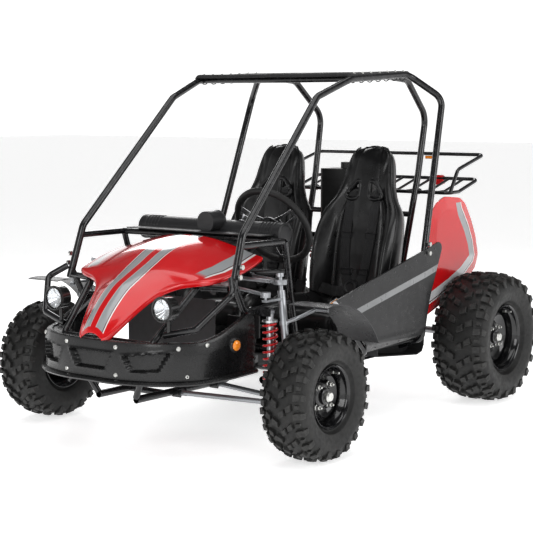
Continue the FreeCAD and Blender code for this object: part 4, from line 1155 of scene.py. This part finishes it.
def canopy_point(across, y):
    """across runs from -1 to 1, and the last tenth each side turns down round the rail."""
    side = 1 if across >= 0 else -1
    t = abs(across)
    scallop = 0.5 + 0.5 * math.cos(2 * math.pi * y / lace_pitch)
    sag = 0.012 * (1 - t ** 2) * math.sin(math.pi * (y - cloth_front) / (cloth_rear - cloth_front))
    wave = 0.0022 * noise.noise(Vector((across * 2.5, y * 11.0, 3.0))) * (1 - t)
    top = rail_height(y) + 0.006 - sag + wave
    if t <= 0.88:
        return Vector((side * cloth_half * t / 0.88 * 0.962, y, top))
    over = (t - 0.88) / 0.12
    angle = over * math.radians(118)
    radius = 0.019
    x = cloth_half * 0.962 + radius * math.sin(angle) * 0.9
    drop = radius * (1 - math.cos(angle)) + 0.006 * over * (1 - scallop)
    return Vector((side * x, y, top - drop))


def canopy_row(y, columns=72):
    return [canopy_point(-1 + 2 * k / columns, y) for k in range(columns + 1)]


def folded_end(y, sign):
    """Rows that carry the sheet round the front or rear cross tube."""
    rows = []
    for step in range(1, 6):
        angle = step / 5 * math.radians(105)
        row = []
        for p in canopy_row(y):
            row.append(p + Vector((0, sign * 0.013 * math.sin(angle), -0.013 * (1 - math.cos(angle)))))
        rows.append(row)
    return rows


rows = 92
spread = [cloth_front + 0.014 + (cloth_rear - cloth_front - 0.028) * k / (rows - 1) for k in range(rows)]
cover = Build()
front_fold = folded_end(spread[0], -1)
cover.grid(front_fold[::-1] + [canopy_row(y) for y in spread] + folded_end(spread[-1], 1))
canopy = piece("canopy_sheet", cover.points, cover.faces, "canopy_cloth", sharp=0)
fabric = canopy.modifiers.new("thickness", "SOLIDIFY")
fabric.thickness = 0.0016
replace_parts(canopy, "canopy")
width = sum((a - b).length for a, b in zip(canopy_row(spread[40]), canopy_row(spread[40])[1:]))


def canopy_laces():
    laces, eyelets = Build(), Build()
    for side in (-1, 1):
        y = cloth_front + 0.05
        while y < cloth_rear - 0.04:
            edge = canopy_point(side * 0.975, y)
            centre = Vector((side * (cloth_half * 0.962), y, edge.z))
            ring = [centre + Vector((side * 0.0175 * math.sin(a), 0.0022 * math.sin(2 * a),
                                     0.0175 * math.cos(a) - 0.002)) for a in
                    (2 * math.pi * k / 14 for k in range(14))]
            laces.tube(ring, 0.0019, 6, closed=True)
            eyelets.lathe([(0.0, 0.0030), (0.0016, 0.0034), (0.0022, 0.0048), (0.0012, 0.0062),
                           (0.0, 0.0064)], canopy_point(side * 0.90, y), (side, 0, 1.0), (0, 1, 0), 14)
            y += lace_pitch
    return laces, eyelets


laces, eyelets = canopy_laces()
piece("canopy_laces", laces.points, laces.faces, "belt_web")
piece("canopy_eyelets", eyelets.points, eyelets.faces, "zinc")
print("laces and eyelets placed")

# %% [markdown]
# ## Tyres
# Off-road tyres have a soft round carcass with separate rubber blocks: a staggered pair down
# the middle, a slanted block beside each, and long shoulder blocks that wrap down over the
# edge. The carcass is turned on a lathe. One pitch of blocks is described once, in angle and
# distance across, and repeated round the tyre.

# %% Tyre builder
def tyre_profile(radius, width, bead, block):
    """The carcass outline as (across, radius), from one bead over the tread to the other."""
    half = width / 2.0
    crown = radius - block
    depth = crown - bead
    outside = [(half * 0.70, bead - 0.004), (half * 0.74, bead + 0.010), (half * 0.86, bead + depth * 0.16),
               (half * 0.885, bead + depth * 0.20), (half * 0.93, bead + depth * 0.34),
               (half * 0.965, bead + depth * 0.52), (half * 0.955, bead + depth * 0.68),
               (half * 0.885, bead + depth * 0.84), (half * 0.74, crown - 0.010),
               (half * 0.52, crown - 0.003), (half * 0.26, crown)]
    line = outside + [(0.0, crown + 0.0005)] + [(-a, r) for a, r in reversed(outside)]
    return [(p.x, p.y) for p in curve_through([(a, r, 0) for a, r in line], 66)]


def carcass_radius(profile, across):
    """The outer radius of the carcass at a distance across the tread."""
    best = min(((abs(a - across), r) for a, r in profile if r > 0.7 * max(q for _, q in profile)))
    return best[1]


def block_shapes(half):
    """One pitch of tread: each block is four (angle share, across) corners and a height share."""
    shapes = []
    for side in (-1, 1):
        lag = 0.0 if side > 0 else 0.5
        centre = [(0.06, 0.04), (0.40, 0.02), (0.62, 0.27), (0.22, 0.30)]
        inner = [(0.40, 0.36), (0.72, 0.33), (0.92, 0.56), (0.52, 0.60)]
        shoulder = [(0.00, 0.64), (0.42, 0.62), (0.46, 0.90), (0.06, 0.90)]
        link = [(0.58, 0.68), (0.86, 0.68), (0.84, 0.84), (0.60, 0.84)]
        for corners, height in ((centre, 1.0), (inner, 1.0), (shoulder, 1.0), (link, 0.8)):
            shapes.append(([((a + lag), side * w * half) for a, w in corners], height))
    return shapes


def tyre(name, centre, radius, width, bead, block, pitches, body):
    profile = tyre_profile(radius, width, bead, block)
    half = width / 2.0
    build = Build()
    build.lathe(profile, centre, (1, 0, 0), (0, 0, 1), 96, close=False)

    def spot(angle, across, r):
        return Vector(centre) + Vector((across, r * math.sin(angle), r * math.cos(angle)))

    pitch = 2 * math.pi / pitches
    for k in range(pitches):
        for corners, height in block_shapes(half):
            mid_a = sum(a for a, _ in corners) / 4
            mid_w = sum(w for _, w in corners) / 4
            foot, top = [], []
            for a, w in corners:
                low = carcass_radius(profile, w)
                taper_a, taper_w = mid_a + (a - mid_a) * 0.84, mid_w + (w - mid_w) * 0.86
                rise = block * height * (0.92 if abs(w) > 0.8 * half else 1.0)
                peak = min(carcass_radius(profile, taper_w) + rise, radius)
                foot.append(spot((k + a) * pitch, w * 1.01, low - 0.006))
                top.append(spot((k + taper_a) * pitch, taper_w * 1.005, peak))
            build.block(foot + top)
        for side in (-1, 1):
            low_r, high_r = bead + (radius - bead) * 0.62, bead + (radius - bead) * 0.86
            face = 0.958 * half
            corners = [((k + a) * pitch, r) for a, r in
                       ((0.04, low_r + 0.006), (0.36, low_r), (0.44, high_r), (0.06, high_r))]
            foot = [spot(a, side * (face - 0.014), r) for a, r in corners]
            top = [spot(a, side * min(half, face + 0.003 - (0.004 if r > low_r + 0.01 else 0.0)), r)
                   for a, r in corners]
            build.block(foot + top)
    item = piece(name, build.points, build.faces, "tyre_rubber", body, sharp=40)
    worn = item.modifiers.new("worn", "BEVEL")
    worn.width = 0.0016
    worn.segments = 2
    worn.limit_method = "ANGLE"
    worn.angle_limit = math.radians(50)
    return item


def wheel_size(node, which=1):
    low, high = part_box(node)
    return (high[2] - low[2]) / 2.0


front_radius = wheel_size("front_tyre_left")
rear_radius = wheel_size("rear_tyres")
front_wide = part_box("front_tyre_left")[1][0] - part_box("front_tyre_left")[0][0]
rear_track = 0.601
rear_wide = 2 * (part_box("rear_tyres")[1][0] - rear_track)
front_bead = wheel_size("front_rim_left") - 0.006
rear_bead = wheel_size("rear_rims") - 0.006
rear_hub = joint_place("rear_axle_spin")
for side, word in ((1, "left"), (-1, "right")):
    item = tyre("knob_tyre_front_" + word, joint_place("front_wheel_spin_" + word), front_radius,
                front_wide, front_bead, 0.0125, 21, "front_wheel_" + word)
    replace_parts(item, "front_tyre_" + word)
    item = tyre("knob_tyre_rear_" + word, rear_hub + Vector((side * rear_track, 0, 0)), rear_radius,
                rear_wide, rear_bead, 0.0145, 22, "axle_and_wheels")
    if side > 0:
        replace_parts(item, "rear_tyres")
print("tyres:", round(front_radius, 4), round(rear_radius, 4))

# %% [markdown]
# ## Wheels
# A pressed steel wheel is a rolled rim with a stepped drop centre, welded to a dished disc
# with round windows, a raised hub and four nuts. It is turned on a lathe like the real one,
# and the nuts, hub cap and air valve are small pieces set on it.

# %% Wheel builder
def wheel_profile(flange, half, dish):
    """The section of a pressed wheel as (across, radius), outer side first."""
    well = flange - 0.020
    return [(half, flange), (half + 0.003, flange - 0.004), (half - 0.001, flange - 0.009),
            (half - 0.008, flange - 0.012), (half - 0.020, flange - 0.014), (half - 0.026, well),
            (half * 0.25, well - 0.003), (half * 0.12, well - 0.014), (dish + 0.010, well - 0.017),
            (dish + 0.004, well - 0.022), (dish - 0.004, well - 0.036), (dish - 0.010, well - 0.050),
            (dish + 0.004, 0.046), (dish + 0.008, 0.040), (dish + 0.009, 0.031), (dish + 0.020, 0.029),
            (dish + 0.022, 0.026), (dish + 0.022, 0.001)]


def wheel(name, centre, side, flange, half, dish, body):
    out = Vector((side, 0, 0))
    disc = Build()
    profile = wheel_profile(flange, half, dish)
    disc.lathe(profile, centre, out, (0, 0, 1), 72, close=False)
    well = flange - 0.020
    back = [(half * 0.25, well - 0.006), (-half * 0.6, well - 0.004), (-half + 0.016, well),
            (-half + 0.008, flange - 0.010), (-half, flange - 0.004), (-half - 0.002, flange)]
    disc.lathe(back, centre, out, (0, 0, 1), 72, close=False)
    item = piece(name, disc.points, disc.faces, "rim_black", body, sharp=40)
    thick = item.modifiers.new("thickness", "SOLIDIFY")
    thick.thickness = 0.003
    thick.offset = -1.0
    nuts = Build()
    for k in range(4):
        a = math.radians(45 + 90 * k)
        spot = Vector(centre) + out * (dish + 0.004) + Vector((0, 0.052 * math.sin(a), 0.052 * math.cos(a)))
        nuts.lathe([(-0.004, 0.0125), (0.000, 0.0125), (0.002, 0.0098), (0.012, 0.0096), (0.014, 0.0075),
                    (0.014, 0.0052), (0.021, 0.0050), (0.0225, 0.0036), (0.0225, 0.0003)],
                   spot, out, (0, 0, 1), 6)
    reach = flange - 0.028
    valve = Vector(centre) + out * (half - 0.020) + Vector((0, 0.35 * reach, 0.93 * reach))
    nuts.lathe([(-0.010, 0.0055), (0.006, 0.0050), (0.007, 0.0036), (0.022, 0.0036), (0.023, 0.0042),
                (0.029, 0.0040), (0.030, 0.0002)], valve, out, (0, 0, 1), 12)
    nuts.lathe([(dish + 0.020, 0.0215), (dish + 0.034, 0.0205), (dish + 0.040, 0.0150),
                (dish + 0.041, 0.0002)], centre, out, (0, 0, 1), 24)
    piece(name + "_nuts", nuts.points, nuts.faces, "zinc", body, sharp=30)
    return item


front_half = front_wide * 0.72 / 2 + 0.003
rear_half = rear_wide * 0.72 / 2 + 0.003
for side, word in ((1, "left"), (-1, "right")):
    item = wheel("steel_wheel_front_" + word, joint_place("front_wheel_spin_" + word), side,
                 front_bead + 0.004, front_half, 0.026, "front_wheel_" + word)
    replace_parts(item, "front_rim_" + word)
    item = wheel("steel_wheel_rear_" + word, rear_hub + Vector((side * rear_track, 0, 0)), side,
                 rear_bead + 0.004, rear_half, 0.034, "axle_and_wheels")
    if side > 0:
        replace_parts(item, "rear_rims")
print("wheels:", round(front_bead, 4), round(rear_bead, 4))
# %% [markdown]
# ## Front fascia
# The fascia is one thick moulding of grained black plastic that wraps the front frame. Each
# column of its mesh runs from the skid lip up the face and back over the deck, and follows
# the plan of the bumper. Three pockets are pressed back into the face to hold grilles, and
# their walls are steep, so a short blend of the depth is enough to shape them.

# %% Fascia
fascia_plan = [(0.0, -0.466), (0.085, -0.467), (0.150, -0.458), (0.215, -0.438), (0.262, -0.415),
               (0.315, -0.372), (0.350, -0.328), (0.376, -0.270), (0.394, -0.205), (0.403, -0.125),
               (0.408, -0.040)]
pockets = [[(-0.098, 0.394), (0.098, 0.394), (0.066, 0.336), (-0.066, 0.336)],
           [(0.148, 0.388), (0.300, 0.404), (0.268, 0.340), (0.176, 0.334)]]


def polygon_depth(x, z, corners):
    """How far a point lies inside a convex outline; negative outside."""
    middle_x = sum(p[0] for p in corners) / len(corners)
    middle_z = sum(p[1] for p in corners) / len(corners)
    inside = 1.0
    for (ax, az), (bx, bz) in zip(corners, corners[1:] + corners[:1]):
        nx, nz = az - bz, bx - ax
        if nx * (middle_x - ax) + nz * (middle_z - az) < 0:
            nx, nz = -nx, -nz
        inside = min(inside, (nx * (x - ax) + nz * (z - az)) / math.hypot(nx, nz))
    return inside


def pocket_share(x, z):
    deepest = max(polygon_depth(abs(x) if i else x, z, corners) for i, corners in enumerate(pockets))
    return min(1.0, max(0.0, (deepest + 0.003) / 0.005)), min(1.0, max(0.0, (deepest + 0.010) / 0.006))


def fascia_heights(y):
    """Bottom and top of the fascia at a place along the kart."""
    rise = min(1.0, max(0.0, (y + 0.300) / 0.260))
    return 0.286 + 0.012 * rise, 0.436 + 0.100 * rise ** 1.5


def plan_spots(plan, steps):
    line = curve_through([(x, y, 0.0) for x, y in plan], steps)
    spots = []
    for i, spot in enumerate(line):
        way = (line[min(i + 1, steps - 1)] - line[max(i - 1, 0)]).normalized()
        spots.append((spot, Vector((-way.y, way.x, 0.0)) * -1.0))
    return spots


def fascia_mesh():
    half = plan_spots(fascia_plan, 90)
    spots = [(Vector((-s.x, s.y, 0.0)), Vector((-n.x, n.y, 0.0))) for s, n in half[:0:-1]] + half
    rows = []
    for spot, out in spots:
        low, high = fascia_heights(spot.y)
        column = [(-0.030, low + 0.006), (0.000, low), (0.016, low + 0.002), (0.020, low + 0.007),
                  (0.016, low + 0.013), (0.003, low + 0.017)]
        face = [low + 0.022 + (high - 0.010 - low - 0.022) * k / 30.0 for k in range(31)]
        for z in face:
            sunk, rim = pocket_share(spot.x, z)
            share = (z - low) / (high - low)
            shape = 0.004 * math.sin(math.pi * share) - 0.010 * max(0.0, share - 0.72)
            column.append((shape + 0.0035 * rim - 0.021 * sunk, z))
        column += [(-0.003, high - 0.003), (-0.009, high), (-0.020, high - 0.001),
                   (-0.024, high - 0.006), (-0.020, high - 0.030)]
        rows.append([at(spot.x + out.x * t, spot.y + out.y * t, z) for t, z in column])
    form = Build()
    form.grid(rows)
    item = piece("fascia_shell", form.points, form.faces, "fascia_plastic")
    wall = item.modifiers.new("wall", "SOLIDIFY")
    wall.thickness = 0.003
    wall.offset = 0.0
    return item


fascia = fascia_mesh()
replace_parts(fascia, "fascia")

deck = Build()
deck_line = plan_spots(fascia_plan, 60)[:44]
deck_line = [(Vector((-s.x, s.y, 0.0)), Vector((-n.x, n.y, 0.0))) for s, n in deck_line[:0:-1]] + deck_line
rows = []
for spot, out in deck_line:
    inner_y = min(spot.y + 0.10, -0.30)
    rows.append([at(spot.x - out.x * 0.018, spot.y - out.y * 0.018, 0.432),
                 at(spot.x * 0.90, (spot.y + inner_y) / 2.0, 0.4285), at(spot.x * 0.88, inner_y, 0.427)])
deck.grid(rows)
deck_item = piece("fascia_deck", deck.points, deck.faces, "fascia_plastic")
plate = deck_item.modifiers.new("wall", "SOLIDIFY")
plate.thickness = 0.003
print("fascia:", len(fascia.data.polygons), "faces and deck:", len(deck_item.data.polygons))

# %% [markdown]
# ## Grilles, bolts and side markers
# Each pocket holds a woven wire grille. Its wires are thin tubes laid both ways on the slant
# and stopped at the outline of the pocket. Button head bolts and the round side marker in its
# raised bezel finish the moulding.

# %% Grilles and fittings
def face_spot(x, z, inward=0.0):
    """The point of the fascia's face at a place across the kart."""
    spots = plan_spots(fascia_plan, 90)
    spot, out = min(spots, key=lambda s: abs(s[0].x - abs(x)))
    place = Vector((abs(x), spot.y, z)) - out * inward
    return at(math.copysign(place.x, x), place.y, z), Vector((math.copysign(out.x, x), out.y, 0.0))


def grille_wires(form, corners, side):
    pitch = 0.0075
    low_x = min(p[0] for p in corners)
    for lean in (-1.0, 1.0):
        for k in range(-12, 60):
            run = []
            for step in range(41):
                z = 0.332 + 0.076 * step / 40.0
                x = low_x - 0.05 + pitch * k + lean * (z - 0.37)
                if polygon_depth(x, z, corners) > -0.001:
                    run.append((x, z))
            if len(run) > 2:
                ends = [run[0], run[len(run) // 2], run[-1]]
                form.tube([face_spot(side * x if side else x, z, 0.0185 + 0.0008 * lean)[0]
                           for x, z in ends], 0.0009, 5)


wires = Build()
grille_wires(wires, pockets[0], 0)
for side in (-1, 1):
    grille_wires(wires, pockets[1], side)
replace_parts(piece("grille_wires", wires.points, wires.faces, "mesh_black"), "grilles")

heads, markers, bezels = Build(), Build(), Build()
for side in (-1, 1):
    for x, z in ((0.118, 0.418), (0.118, 0.318), (0.322, 0.418), (0.340, 0.318), (0.376, 0.425)):
        spot, out = face_spot(side * x, z, -0.002)
        heads.lathe([(-0.002, 0.0085), (0.002, 0.0085), (0.0045, 0.006), (0.005, 0.003), (0.002, 0.0028),
                     (0.002, 0.0002)], spot, out, (0, 0, 1), 20)
    spot = at(side * 0.4035, -0.150, 0.412)
    out = Vector((side * 0.985, -0.17, 0.0)).normalized()
    bezels.lathe([(-0.004, 0.0285), (0.009, 0.0265), (0.0125, 0.0235), (0.0125, 0.0205), (0.004, 0.0200),
                  (0.002, 0.0010)], spot, out, (0, 0, 1), 40)
    markers.lathe([(0.004, 0.0198), (0.012, 0.0190), (0.0165, 0.0130), (0.0180, 0.0060), (0.0180, 0.0002)],
                  spot, out, (0, 0, 1), 40)
    lean = math.tan(math.radians(16))
    for thick, shrink in ((0.0, 0.0), (0.004, 0.0015)):
        form = markers if thick else bezels
        low, high = 0.296 + shrink, 0.346 - shrink
        form.block([at(side * x, y, 0.516 + shrink + drop + (y - 0.320) * lean)
                    for drop in (0.0, 0.014 - 2 * shrink)
                    for x, y in ((0.5075, low), (0.511 + thick, low), (0.511 + thick, high), (0.5075, high))])
        low, high = 0.150 + shrink, 0.215 - shrink
        form.block([at(side * x, y, 1.020 + shrink + drop) for drop in (0.0, 0.014 - 2 * shrink)
                    for x, y in ((low, 1.6052 - thick), (high, 1.6052 - thick), (high, 1.609 - thick),
                                 (low, 1.609 - thick))])
piece("fascia_bolts", heads.points, heads.faces, "zinc")
piece("marker_bezels", bezels.points, bezels.faces, "fascia_plastic")
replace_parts(piece("marker_lenses", markers.points, markers.faces, "amber_lens"),
            "amber_reflectors")
print("grille wires:", len(wires.faces), "faces")

# %% [markdown]
# ## Headlights
# Each lamp is a deep can with a polished bowl behind clear glass. The bowl is turned as a
# parabola with a bulb at its focus. A thin bright ring holds the glass.

# %% Headlights
bowls, rings = Build(), Build()
for side in (-1, 1):
    centre = at(side * 0.262, -0.385, 0.553)
    bowls.lathe([(0.0095 + 0.033 * (1.0 - (r / 0.0368) ** 2), r)
                 for r in (0.0368, 0.034, 0.030, 0.025, 0.019, 0.013, 0.007, 0.002)], centre,
                (0, 1, 0), (0, 0, 1), 48)
    bowls.lathe([(0.016, 0.0002), (0.017, 0.0035), (0.022, 0.0055), (0.030, 0.0055), (0.040, 0.0040)],
                centre, (0, 1, 0), (0, 0, 1), 24)
    for r, t, y in ((0.0405, 0.0028, -0.001), (0.0445, 0.0022, 0.004)):
        rings.tube([centre + Vector((math.cos(a) * r, y, math.sin(a) * r))
                    for a in (2 * math.pi * k / 48 for k in range(48))], t, 10, closed=True)
piece("lamp_bowls", bowls.points, bowls.faces, "chrome_bowl")
piece("lamp_rings", rings.points, rings.faces, "lamp_shell")
print("bowls and rings on both lamps")

# %% [markdown]
# ## Steering wheel, gauge and key
# The rim is a steel hoop under moulded foam with finger swells on its inner side. A bright
# pressed plate carries three slotted spokes, and a soft pad covers the nut in the middle.

# %% Steering wheel and dash fittings
wheel_spot = joint_place("steering_turn")
wheel_way = Vector(joints["steering_turn"]["axis"]).normalized()
wheel_up = (Vector((0, 0, 1)) - wheel_way * wheel_way.z).normalized()
wheel_side = wheel_up.cross(wheel_way)


def on_wheel(radius, angle, lift=0.0):
    return (wheel_spot + (wheel_side * math.cos(angle) + wheel_up * math.sin(angle)) * radius
            + wheel_way * lift)


grip = Build()
rows = []
for k in range(144):
    a = 2 * math.pi * k / 144
    swell = 0.0011 * max(0.0, math.sin(a * 36.0)) ** 2
    ring_row = []
    for m in range(16):
        b = 2 * math.pi * m / 16
        thick = 0.0138 + (swell if math.cos(b) < -0.2 else 0.0)
        ring_row.append(on_wheel(0.160 + thick * math.cos(b), a, thick * 0.92 * math.sin(b)))
    rows.append(ring_row)
grip.grid(rows, close_rows=True, close_columns=True)
wheel_grip = piece("wheel_grip", grip.points, grip.faces, "grip_rubber", body="steering")
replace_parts(wheel_grip, "steering_wheel")
spokes, hub = Build(), Build()
for angle in (math.radians(-90), math.radians(28), math.radians(152)):
    for lean in (-1, 1):
        ends = []
        for radius, wide, width, lift in ((0.036, 0.019, 0.0065, -0.012), (0.090, 0.0165, 0.0055, -0.014),
                                          (0.150, 0.0150, 0.0060, -0.004)):
            cross = on_wheel(1.0, angle + math.pi / 2) - wheel_spot
            middle = on_wheel(radius, angle, lift) + cross * wide * lean
            ends.append((middle - cross * width, middle + cross * width))
        for (a, b), (c, d) in zip(ends, ends[1:]):
            spokes.block([a, b, d, c] + [p + wheel_way * 0.003 for p in (a, b, d, c)])
    for radius, lift in ((0.058, -0.0132), (0.138, -0.0062)):
        cross = on_wheel(1.0, angle + math.pi / 2) - wheel_spot
        away = on_wheel(1.0, angle) - wheel_spot
        middle = on_wheel(radius, angle, lift)
        corners = [middle + cross * x + away * y for x, y in
                   ((-0.014, -0.007), (0.014, -0.007), (0.014, 0.007), (-0.014, 0.007))]
        spokes.block(corners + [p + wheel_way * 0.0028 for p in corners])
spokes.lathe([(-0.013, 0.0005), (-0.013, 0.048), (-0.0095, 0.049), (-0.009, 0.046), (-0.009, 0.0005)],
             wheel_spot, wheel_way, wheel_up, 48)
hub.lathe([(-0.009, 0.040), (0.008, 0.038), (0.0145, 0.032), (0.0165, 0.020), (0.0150, 0.0005)],
          wheel_spot, wheel_way, wheel_up, 40)
hub.lathe([(-0.030, 0.016), (-0.013, 0.022), (-0.013, 0.0120), (-0.030, 0.0120)],
          wheel_spot, wheel_way, wheel_up, 32)
soften(piece("wheel_spokes", spokes.points, spokes.faces, "spoke_plate", body="steering",
             smooth=False), 0, 0.0006, 2)
piece("wheel_hub", hub.points, hub.faces, "grip_rubber", body="steering")

trim, key = Build(), Build()
for side in (-1, 1):
    trim.lathe([(0.0, 0.0475), (0.012, 0.0480), (0.014, 0.045), (0.016, 0.036), (0.0135, 0.033),
                (0.0135, 0.0005)], at(side * 0.336, 0.236, 0.776), (side, 0, 0), (0, 0, 1), 48)
    for k in range(5):
        x = side * (0.250 + 0.016 * k)
        trim.tube([at(x, 0.236 + 0.0462 * math.cos(a), 0.776 + 0.0462 * math.sin(a))
                   for a in (2 * math.pi * m / 40 for m in range(40))], 0.0022, 8, closed=True)
trim.lathe([(0.0, 0.0405), (0.006, 0.0425), (0.010, 0.0405), (0.009, 0.0365), (0.002, 0.0355)],
           at(0.040, 0.206, 0.818), (0, 1, 0), (0, 0, 1), 48)
key.lathe([(0.0, 0.011), (0.004, 0.011), (0.005, 0.009), (0.005, 0.0005)], at(0.120, 0.262, 0.815),
          (0, 0.55, 0.83), (0, -0.83, 0.55), 24)
key.block([at(0.1185, y, z) for y, z in ((0.263, 0.819), (0.268, 0.816), (0.284, 0.840), (0.272, 0.846))]
          + [at(0.1205, y, z) for y, z in ((0.263, 0.819), (0.268, 0.816), (0.284, 0.840), (0.272, 0.846))])
piece("dash_trim", trim.points, trim.faces, "dash_plastic")
piece("ignition_key", key.points, key.faces, "bright_steel")
print("steering wheel and dash fitted")


# %% [markdown]
# ## Floor, light and camera
# The kart stands on a white floor under four large soft lamps, like a product on a studio
# table. The floor glows a little, as a lit table does, so it stays white up to the horizon and
# fills the undersides. The sky is white low down and darker overhead, which keeps the black
# parts black and still gives them long highlights. A long lens from about hood height keeps
# the lines of the kart straight.

# %% Studio
sky_low, sky_high = 0.10, 0.46
glow_low, glow_high = 1.15, 0.16
floor_glow = 0.66


def studio():
    half = 40.0
    floor = piece("floor", [(-half, -half, 0), (half, -half, 0), (half, half, 0), (-half, half, 0)],
                  [(0, 1, 2, 3)], "floor_white", smooth=False)
    floor.parent = None
    del floor["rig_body"]
    world = bpy.data.worlds.new("studio")
    bpy.context.scene.world = world
    world.use_nodes = True
    tree = world.node_tree
    place = tree.nodes.new("ShaderNodeTexCoord")
    split = tree.nodes.new("ShaderNodeSeparateXYZ")
    fade = tree.nodes.new("ShaderNodeMapRange")
    tree.links.new(place.outputs["Generated"], split.inputs[0])
    tree.links.new(split.outputs[2], fade.inputs[0])
    for i, value in enumerate((sky_low, sky_high, glow_low, glow_high), 1):
        fade.inputs[i].default_value = value
    tree.nodes["Background"].inputs["Color"].default_value = (1.0, 1.0, 1.0, 1.0)
    tree.links.new(fade.outputs[0], tree.nodes["Background"].inputs["Strength"])
    for name, spot, size, power in (("over", (0.5, -0.6, 4.6), 4.5, 110.0),
                                    ("front", (1.6, -5.2, 2.8), 2.6, 70.0),
                                    ("side", (5.2, 0.6, 2.6), 2.6, 70.0),
                                    ("back", (-3.4, 3.4, 3.2), 2.4, 60.0)):
        lamp = bpy.data.lights.new(name, "AREA")
        lamp.size = size
        lamp.energy = power
        holder = bpy.data.objects.new(name, lamp)
        bpy.context.collection.objects.link(holder)
        holder.location = spot
        aim = Vector((0.0, 0.0, 0.6)) - Vector(spot)
        holder.rotation_euler = aim.to_track_quat("-Z", "Y").to_euler()


def floor_finish():
    f = Finish("floor_white")
    f.colour(f.mix(f.noise(0.6), (0.93, 0.93, 0.93), (0.96, 0.96, 0.96)))
    f.rough(f.spread(f.noise(3.0), 0.3, 0.7, 0.5, 0.6))
    f.surface.inputs["Emission Color"].default_value = (1.0, 1.0, 1.0, 1.0)
    f.surface.inputs["Emission Strength"].default_value = floor_glow
    return f.material


finishes["floor_white"] = floor_finish()
studio()
contrast = 0.86
bpy.context.scene.view_settings.view_transform = "Standard"
bpy.context.scene.view_settings.gamma = contrast

turn = math.radians(37.10)
tilt = math.radians(6.48)
lens_mm = 99.2
camera_data = bpy.data.cameras.new("camera")
camera_data.sensor_width = 36.0
camera_data.lens = lens_mm
camera_data.shift_x = 0.0291
camera_data.shift_y = 0.0091
camera = bpy.data.objects.new("camera", camera_data)
bpy.context.collection.objects.link(camera)
camera.location = at(3.577, -4.249, 1.266)
look = Vector((-math.sin(turn) * math.cos(tilt), math.cos(turn) * math.cos(tilt), -math.sin(tilt)))
camera.rotation_euler = look.to_track_quat("-Z", "Y").to_euler()
bpy.context.scene.camera = camera
print("camera at", tuple(round(v, 3) for v in camera.location))
